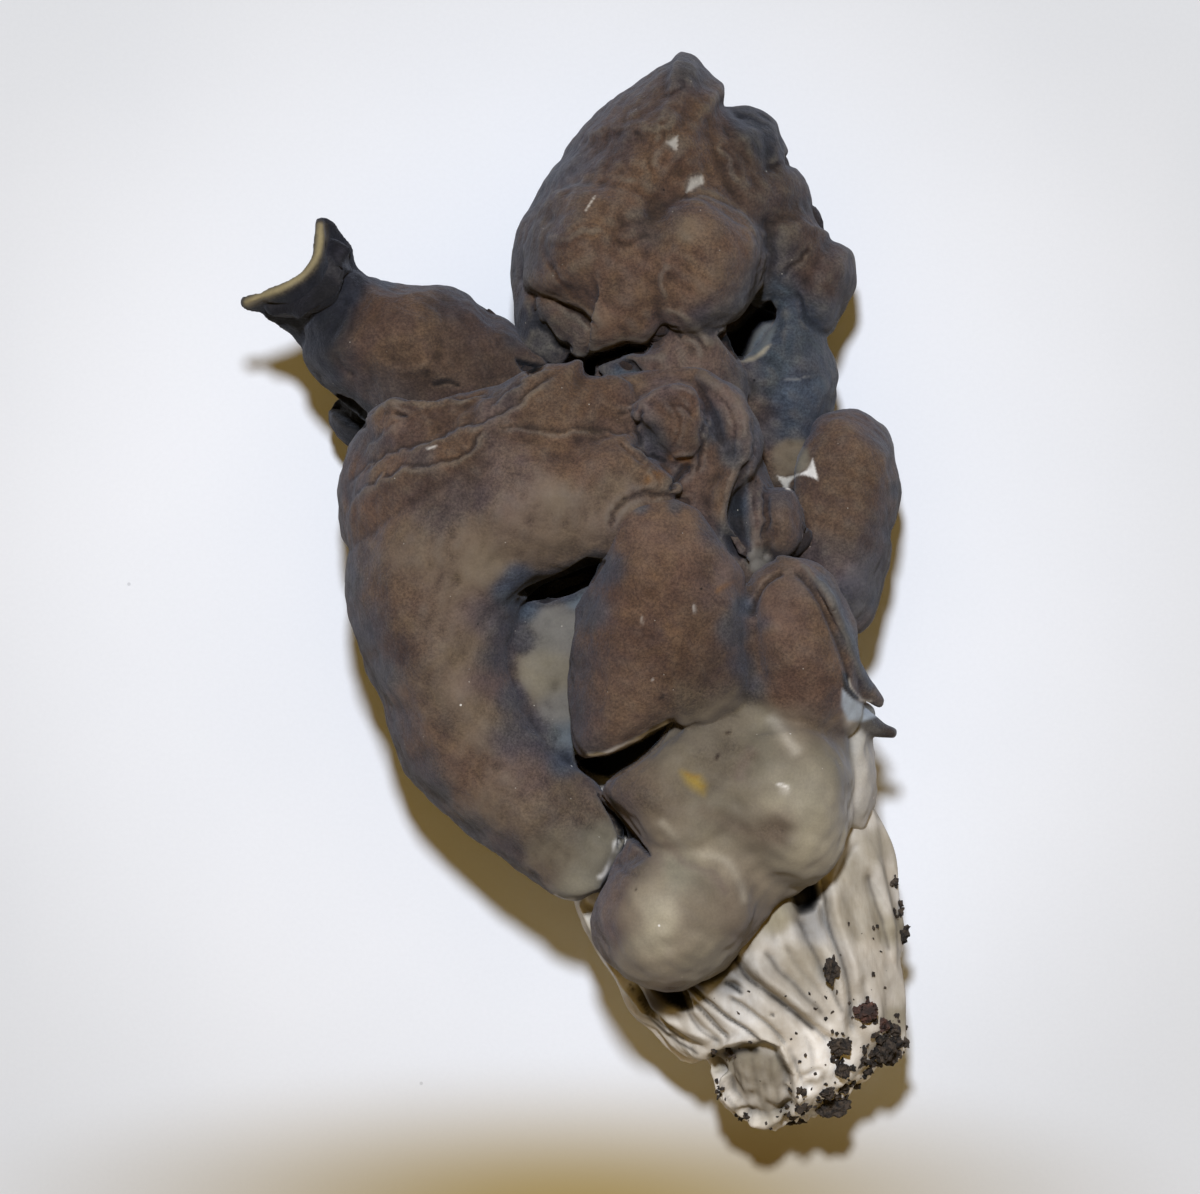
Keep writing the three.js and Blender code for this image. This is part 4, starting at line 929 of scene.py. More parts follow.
bodyShape = {
    "seed": 51, "curve": 0.1, "dust": 0.3, "voxel": 0.29, "smoothing": 5, "triangles": 196000,
    "domes": [
        dict(crown=[-14.5, 16, 38], curl=15, droop=2, edge=[
            [-27.6, 7, 20], [-28.4, 11.6, 19], [-28, 15.4, 20], [-27, 18, 22], [-25.6, 20.4, 25], [-24, 22.3, 28],
            [-21.5, 23.4, 31], [-18, 23.4, 32.5], [-13, 24.5, 33], [-6, 25.5, 34], [-1.5, 21, 34], [-3, 11, 34],
            [-14.5, 5, 32], [-23, 3, 26]]),
        dict(crown=[-8, 15, 41.5], edge=[
            [-27, 6, 24], [-26.5, 13, 28], [-21, 18, 32], [-13, 22.5, 34], [-9, 25.5, 35], [-5, 27.5, 36],
            [-2.6, 27.9, 36], [-1.2, 28, 36], [0.4, 28.7, 36], [1.5, 28.3, 36], [1.8, 26.8, 36], [4.4, 26.4, 36],
            [7, 24.8, 36], [8, 21, 35], [8, 10, 35], [-1.5, 4, 35], [-14.5, 1, 33], [-23, 1, 28]]),
        dict(crown=[13, 17, 39], edge=[
            [2, 24, 32], [8, 27, 32], [14, 28, 31], [19.5, 25, 29], [22, 19, 28], [24.5, 11, 28], [25, 3, 29],
            [18, 0, 34], [9, 4, 34], [3, 12, 34]]),
        dict(crown=[12, 20.5, 42.2], edge=[
            [6.8, 21.8, 38], [8.4, 23.4, 38], [10.4, 24.9, 38], [12.4, 25.4, 38], [14.4, 24.4, 38],
            [15.8, 21.4, 37], [15.4, 18, 36], [13.6, 16.2, 37], [11.4, 16.6, 37], [9.6, 18.4, 37],
            [8.4, 20, 37]]),
        dict(crown=[24.9, 8.6, 37.5], edge=[
            [22.9, 12.6, 32], [24.6, 13.3, 32], [26.4, 12.6, 31], [27.4, 9.5, 30], [27, 6, 30], [24.8, 4.6, 32],
            [23, 6, 33]]),
        dict(crown=[22.2, 9.4, 36.6], edge=[
            [20.7, 13, 33], [21.6, 15, 33], [22.9, 13.6, 33], [23.4, 9, 33], [22.8, 5.4, 33], [21.4, 4, 33],
            [20.8, 7, 33]]),
        dict(crown=[33.5, 10, 31], curl=25, droop=4, segments=180, edge=[
            [27.6, 17.4, 24], [28.3, 19.8, 22], [29, 21.5, 21], [30.6, 22.6, 20], [32.6, 23, 19],
            [34.8, 22.5, 18], [36.6, 21.2, 17], [38, 19.2, 16], [38.9, 16.2, 15], [39.4, 12.5, 14],
            [39.2, 9.5, 13], [38.4, 7.6, 13], [38.3, 5, 12], [37.6, 2, 12], [36.6, -1, 13], [35.4, -3.6, 14],
            [33, -4.5, 18], [28.4, -1, 26], [26, 3, 28], [25.4, 8, 29], [26, 13, 27]]),
        dict(crown=[-15, 3, 0], curl=5, inset=3, edge=[
            [-27, 10, 20], [-27.5, -2, 18], [-24, -12, 18], [-19.5, -21.5, 18], [-12, -29, 20], [-3, -33, 22],
            [5, -30, 22], [4, -12, 20], [-1.5, 5, 20], [-10, 17, 22], [-22, 17, 22]]),
        dict(crown=[27, 8, 0], curl=5, inset=3.5, edge=[
            [22.5, 25, 17], [30, 22.5, 16], [37, 20, 14], [39, 10, 12], [37.5, -1, 13], [34, -9.5, 18],
            [31, -16.5, 20], [24, -19, 20], [14, -12, 18], [11, 5, 18], [14, 22, 18]]),
        # A plug under the middle gap, painted black as shade by the gap, so the paper doesn't show through.
        dict(crown=[-1.5, 1.8, 24.5], curl=0, edge=[
            [-7.5, -1, 22], [-2, -2.5, 22], [4, 0, 22], [6, 4, 22], [3, 7, 22], [-2, 5.5, 22], [-7, 3, 22]]),
        dict(crown=[-2.5, -9, 33], curl=5, power=0.6, edge=[
            [-10, -3, 27], [-5, -0.4, 28], [-1, 0.3, 28], [3, 1.4, 28], [9, -3, 30], [8, -14, 30],
            [2.4, -18.6, 29], [-1, -20.4, 29], [-5, -20, 28], [-12, -12, 28]]),
    ],
    "bands": [
        dict(left=[[13, 13, 39], [6, 19.3, 37], [-3, 19.8, 36], [-12, 19.5, 35], [-22, 12.5, 29], [-27.4, 4, 22],
                   [-26.6, -3.5, 19], [-23.2, -13, 18], [-19.6, -21.8, 18], [-10, -30.4, 20], [-1, -36.2, 23],
                   [3.4, -35, 27]],
             right=[[13, 13, 39], [9, 6, 37], [2, 3.5, 34], [-3.5, 1.5, 31], [-7, -2.5, 30], [-7, -9.5, 29],
                    [-3.4, -16.5, 29], [2.4, -22, 30], [5.8, -27, 30], [5.6, -30.6, 29], [3.4, -35, 27]],
             crown=[41, 44, 44, 43, 41, 40, 39, 37, 35, 32]),
        dict(left=[[13.4, 27.6, 34], [18.4, 26, 33], [21.8, 21.5, 31], [22.4, 16, 31], [19.6, 10, 34], [21, 4, 36]],
             right=[[13.4, 27.6, 34], [15.4, 24, 36], [17.4, 20, 37], [16.8, 15, 37], [16, 10, 38], [21, 4, 36]],
             crown=[36.5, 40, 40.2, 40, 39.6, 38.6]),
    ],
    "steps": [
        (0.45, 0.22, 2.5, [(8, 19.3), (4, 19.7), (0, 19.8), (-2, 19.4), (-5, 20), (-9.6, 20.3)]),
        (0.75, 0.22, 2.5, [(-10, 20.2), (-11, 18.6), (-12.6, 17.2), (-14.5, 16), (-17, 15.3), (-20, 15.2),
                           (-23, 14), (-25.5, 12.3), (-26.6, 10.3), (-27.4, 7.8)]),
        (0.7, 0.22, 2.0, [(-1.5, 26.6), (-4, 24.8), (-6, 23.2), (-8, 21.6), (-10, 20.6), (-13, 19.9), (-16, 18.5),
                          (-19, 17.6), (-22, 16.8), (-25, 15), (-27.6, 12.8)]),
        (0.6, 0.22, 1.6, [(-2, 27.7), (-5, 26.2), (-7.4, 24.6), (-9.6, 22.6), (-10.4, 21.4)]),
        (1.2, 0.22, 2.0, [(-9, 24.2), (-12.5, 23.4), (-16, 22.9), (-19.8, 23.1), (-21.6, 23.3), (-23, 22.4),
                          (-24.6, 21.2), (-25.8, 20.4)]),
        (0.5, 0.25, 1.4, [(-19.5, 20.6), (-22, 19.6), (-24, 18.2), (-26, 16.2)]),
    ],
    "grooves": [
        (0.8, 0.22, [(-21.4, 22), (-20.4, 21.7), (-19.4, 21.5)]),
        (0.7, 0.8, [(14.3, 24.6), (16, 22.4), (17.3, 20), (18.3, 17.8), (19.3, 16)]),
        (0.6, 1.0, [(7.5, 21), (8.5, 19), (9.5, 17.4), (11.2, 16)]),
        (0.7, 0.22, [(9, 17.2), (10, 16.6), (11.2, 16)]),
        (1.4, 0.3, [(11, 12.6), (12.2, 13.6), (13, 14.8), (14.4, 15.6)]),
        (0.8, 0.28, [(22.8, 12.8), (22.9, 9), (22.6, 6.5)]),
        (0.5, 0.22, [(5, 21.8), (7, 22), (8.6, 22.4)]),
        (0.7, 0.32, [(15.9, 23.4), (15.6, 21), (15.1, 18.6), (15.2, 16.2), (14.6, 14.4)]),
        (0.7, 0.26, [(8.4, 22.6), (7.6, 20), (8.2, 17.8), (9.4, 16.4)]),
        (0.2, 0.3, [(11.6, 23.6), (12.4, 21.4), (12.2, 18.8), (11.4, 17)]),
        (0.25, 0.3, [(17.2, 24), (18.6, 21.6), (19, 18.6), (18.6, 16)]),
        (0.4, 0.24, [(21.4, 21.4), (21.6, 18.4), (21.2, 16)]),
        (0.7, 0.4, [(4.2, 8), (5.2, 10.4), (6.8, 11.9), (9, 12.2), (12, 12), (14.4, 11)]),
        (0.5, 0.4, [(22, 12.5), (24, 13.4), (25.6, 13)]),
        (0.5, 0.5, [(10.6, 23.2), (13, 23), (14.4, 21)]),
        (0.4, 0.35, [(5, 18.6), (7, 17.4), (8.6, 15.6)]),
    ],
    "ridges": [
        (0.5, 0.3, [(-12, 23.4), (-16, 22.9), (-20, 23.1)]),
        (0.6, 0.5, [(6, 21.9), (8, 23.1), (10, 24.7), (12, 25.2), (13.6, 24.8), (15, 23), (15.8, 20.8),
                    (15.3, 18), (15, 16.8)]),
        (0.5, 0.6, [(14, 25.8), (16, 25.9), (18.5, 24.4), (20, 22.4), (20.7, 19.5), (20.4, 17), (19.6, 15),
                    (18.6, 12.7), (18.2, 10)]),
        (0.5, 0.4, [(11, 16.2), (13, 17), (15, 16.6)]),
        (0.4, 0.4, [(8.6, 11.8), (9.6, 14), (8.4, 15.6)]),
        (0.2, 0.4, [(20.4, 15), (21, 11), (21.2, 7.5)]),
    ],
    "lumps": [
        (-8, 10, 7, 0.5), (-20, 5, 6, 0.5), (-1, 16, 2.8, -0.35), (-12, 12, 3.5, -0.3), (-15, -10, 6, 0.4),
        (-19, -7, 2.4, -0.2), (-5, -26, 5, 0.3), (1, -30, 4, 0.3), (-12, -16, 3.5, 0.2), (-21.3, 23, 1.4, 0.9),
        (-2, 23.5, 3.5, 0.5), (33, 17, 4, 0.3), (33, 8, 4, 0.3), (24.6, 16.5, 1.8, 0.4), (22, 3.6, 1.2, 0.5),
        (23.2, 4.8, 0.8, 0.4), (-21, 20.5, 2, 0.4), (-14, 21.6, 2, 0.3), (17, 12.5, 2, 0.4),
    ],
    "pits": mouthPits + [
        (1.8, 0.6, [(20.8, 16), (19.8, 15.4), (18.8, 13), (18.4, 10.4), (18, 8.6), (18.1, 7), (18.7, 5.5),
                    (19.9, 4.7), (21, 5.6), (21, 8), (20.7, 9.6), (20.5, 12), (20.9, 14)]),
    ],
    # Painted light and shade mixed with the skin's tone, spot by spot.
    "toneLightAndShade": [(0.8, -15, 22, 8), (0.88, -4, 22, 6), (0.86, 12, 21, 6), (0.8, 33, 13, 8), (1.42, 35, 0.5, 4.5),
               (1.1, -15, 7, 6), (1.12, -6, 10, 6), (1.1, -12, -14, 6), (1.1, -10, -24, 6), (0.69, -1, -27, 6),
               (0.93, -19, 0, 4), (0.88, -2, -8, 5), (1.12, -21, 12, 4), (1.25, -1.4, 18.4, 2.2),
               (1.5, -20.6, 19.4, 2.2), (1.25, -24.6, 12.4, 2.4), (1.2, -16, 17, 2.2), (0.88, -8.6, 12.4, 2.6),
               (1.3, -11, -2.4, 2.2), (1.4, -20.4, -12, 2.4), (1.35, 32.4, 2.8, 2.2), (0.86, 37, 12, 2.2),
               (1.2, 15.2, 22, 1.6), (0.92, 21, 15, 6)],
    "melts": [(-8.4, -2, 2), (-8, -7, 2.2), (-6, -12.5, 2.2), (-2.6, -17.6, 2), (-3, 24, 2), (14, 27, 1.5),
              (5, 22, 1.6), (-20, 20, 2), (9, 18, 1.6), (23.4, 17, 2), (27.4, 5, 1.6), (26.6, 11, 1.2),
              (22.8, 15, 1.6)],
    "spots": {
        "rust": [(-23, 8, 2.5), (-1, 16, 2.2), (0, 24.5, 2), (4, 23.5, 1.5), (-12, 24.8, 1.5), (-16, 24.5, 1.3),
                 (-17, 21, 2), (-26.5, 16, 1.2), (-14, 17, 1.6), (12.5, 21.5, 2)],
        "tan": [(-21, 6, 3), (-18, 4, 3), (-4, 12, 3), (-5, 8, 3), (0, 9, 2.5), (-18, -3, 1.8), (-13, -13, 1.8),
                (-9, -21.6, 1.8), (5, 13, 2), (-10, 8, 2.5), (-13, 6, 2.5), (-15, 1, 3), (-14, -6, 3),
                (-16, -11, 3), (-12, -16, 3), (-10, -25, 2.5), (-5, -26, 2.2), (0, -24, 2.2), (-3, -33, 1.6)],
        "plum": [(-25, 5, 1.5), (-16, 10, 2.5), (-12, 12, 2.5), (-15, -14.6, 1.4), (-23, -2, 1.6),
                 (-19.7, -15, 1.5), (-17, -20.5, 2), (-8, -30, 1.5), (-8, 24.5, 1.5), (-24, 18, 1.5),
                 (-22.5, 18.5, 1), (-26, 13, 1), (-18, 17, 1), (21.5, 12, 1), (22, 17, 1.2), (24.5, 11.8, 1),
                 (37, 19, 1.2), (36, 8, 2), (32, 5, 2), (28.5, 6, 1)],
        "lead": [(-26.5, 2, 1.2), (-24.6, -4, 1.2), (-22, -9, 1.4), (-10, -7.5, 1.6), (-9, -3, 1.8),
                 (-11, -2, 1.5), (-7.6, -12, 1.3), (-8, -17, 2), (-4, -17, 2), (-16, -23, 1.2), (-12, -27.5, 1.3),
                 (-5.8, -5, 1), (9, 19, 1.4), (16.5, 20.5, 1.2), (18.5, 17, 1), (19, 7, 1.2), (23, 18.5, 1.5),
                 (35, 3, 2), (33, 0, 1.8)],
        "mauve": [(-8, 12, 3), (-7, 15.4, 1.6), (-12, -2, 2), (-11, -10, 2), (-6, -21, 3), (2.5, -22.5, 1.2),
                  (-10, 22.5, 1), (8, 22, 1), (11, 24.6, 1), (17.5, 24, 1), (19, 21, 1), (7, 12.5, 0.8),
                  (21.6, 8, 1)],
        "umber": [(-4, 18, 2), (2, 16, 2), (-14, -19, 1.6), (5, 17, 2), (-20, 0, 3), (-17, -16, 2.5),
                  (-12, -21, 3), (-3, 23, 2.5), (-22, 21, 1.5), (-14, 20.7, 1.5), (-22, 16, 1.2), (6, 20, 1.5),
                  (17, 13, 1.5), (16, 16, 1.2), (14, 13, 1.2), (9, 14.5, 1), (24.5, 9, 1.5), (30, 19, 2),
                  (33, 20, 2.5), (32, 15, 3), (36, 14, 2), (33, 10, 2.5), (30, 12, 1.5), (29, 10, 1)],
        "darkUmber": [(-21, 12, 1.6), (-17, 12.6, 1.8), (-12, 14.6, 1.6), (2, 18.6, 1.4), (-22, 2, 1.6),
                      (-19, -12.6, 1.6), (-19, -7, 2.6), (-19, 19, 1.5)],
        "paleTan": [(-2, 11, 1.6), (-11, 4, 2)],
        "slate": [(-6.5, 2.3, 1.3), (-8, 0.5, 1.3), (-1.5, -19.5, 1.5), (-6, -1, 1.2), (19.5, 11, 0.8)],
        "clay": [(-2, -30, 2.5)],
        "olive": [(2.5, -30, 2), (-3, -9, 2)],
        "moss": [(0, -34, 2), (26, 16.8, 1.2)],
        "pearl": [(-2, -4, 2), (-1.5, -13, 1.6), (22, 4.5, 0.8)],
        "mist": [(-1, -16.5, 1.4), (0.5, 0, 1)],
        "deepSlate": [(38.7, 13, 0.8), (38, 7.5, 0.8), (36.5, 0, 1)],
    },
    "lines": [
        ("paleTan", 0.6, 0.3, [(-12, 23.4), (-16, 22.9), (-20, 23.1), (-22, 23.2), (-24, 21.9)]),
        ("tan", 0.4, 0.2, [(8, 19.4), (4, 19.8), (0, 19.9), (-2, 19.5), (-5, 20.1), (-9.6, 20.4)]),
        ("tan", 0.45, 0.22, [(-10.2, 20), (-11.2, 18.4), (-12.6, 17.1), (-14.5, 15.9), (-17, 15.2), (-20, 15.1),
                             (-23, 13.9), (-25.5, 12.2), (-26.6, 10.2), (-27.4, 7.8)]),
        ("tan", 0.5, 0.26, [(-2, 26.4), (-4, 24.7), (-6, 23.1), (-8, 21.5), (-10, 20.5), (-13, 19.8), (-16, 18.4),
                            (-20, 17.3)]),
        ("chalk", 0.6, 0.12, [(-17.6, 17.6), (-16.8, 17.8), (-16, 18)]),
        # Painted shade in cracks and creases.
        ("shadeAndMarkBlack", 0.9, 0.25, [(11, 12.6), (12.2, 13.6), (13, 14.8), (14.4, 15.6)]),
        ("shadeAndMarkBlack", 0.8, 0.2, [(9, 17.2), (10, 16.6), (11.2, 16)]),
        ("shadeAndMarkBlack", 0.7, 0.16, [(-21.2, 22), (-20.4, 21.7), (-19.4, 21.5)]),
        ("amber", 0.8, 0.6, [(10.8, 16.6), (12, 16.9), (13, 16.2), (13.4, 15.2)]),
        ("amber", 0.4, 0.5, [(8.4, 13.2), (9.3, 14.1), (10.6, 14.6), (11.6, 15.6)]),
        # Painted shade in the creases beside the knot.
        ("shadeAndMarkBlack", 0.3, 0.2, [(15.9, 23.4), (15.6, 21), (15.1, 18.6), (15.2, 16.2)]),
        ("shadeAndMarkBlack", 0.5, 0.3, [(8.4, 22.2), (7.8, 20), (8.4, 17.8), (9.6, 16.6)]),
        ("pearl", 0.6, 0.16, [(20.9, 15.4), (20.5, 12.4), (20.7, 9), (21, 6)]),
        ("mauve", 0.6, 0.4, [(6, 22), (8, 23.2), (10, 24.8), (12, 25.3), (13.6, 24.9), (15, 23.1), (15.8, 20.8)]),
        ("mauve", 0.6, 0.4, [(14, 25.9), (16, 26), (18.5, 24.5), (20, 22.5), (20.7, 19.5), (20.4, 17)]),
        ("chalk", 0.9, 0.32, [(5.5, -28.6), (4.9, -30.2), (4.1, -32), (2.9, -33.8)]),
        ("chalk", 0.7, 0.22, [(-2.4, -35.2), (-1, -36.2), (0.4, -36)]),
        ("shadeAndMarkBrown", 0.7, 0.3, [(-5.6, -32.8), (-3.8, -33.6), (-2.2, -34.8)]),
    ],
    "washes": [
        ("deepSlate", 0.7, 0.6, [(-7.4, 1.6), (-5, 3), (-1, 3.9), (2.6, 5.8), (4.8, 4.6), (3, 1.5), (0, -0.5),
                                 (-4, -1.2), (-7, -0.6)]),
    ],
    "patches": [
        *sideGaps,
        ("chalk", 1.0, 0.15, [(27.3, 7.2), (27.6, 8), (28.2, 8), (28.3, 7.3)]),
        # Painted shade in the pit beside the knot, greyer on its right side.
        ("ink", 0.75, 0.45, [(20.7, 15.6), (19.8, 15), (18.8, 12.8), (18.4, 10.4), (18.1, 8.4), (18.4, 6.4),
                             (19.6, 5.2), (20.4, 6), (20.3, 9), (20, 12), (20.4, 14)]),
        ("slate", 0.6, 0.3, [(20.8, 15.6), (20.2, 13), (20.2, 10), (20.4, 7), (21, 5.6), (21.1, 8), (20.8, 10),
                             (20.7, 13)]),
        ("olive", 0.7, 0.4, [(24.4, 17.6), (26.5, 18.4), (28, 17.8), (28.4, 15.6), (26.8, 15), (25, 15.2)]),
    ],
}

growLobes("capFolds", bodyShape).data.materials.append(capSkin)

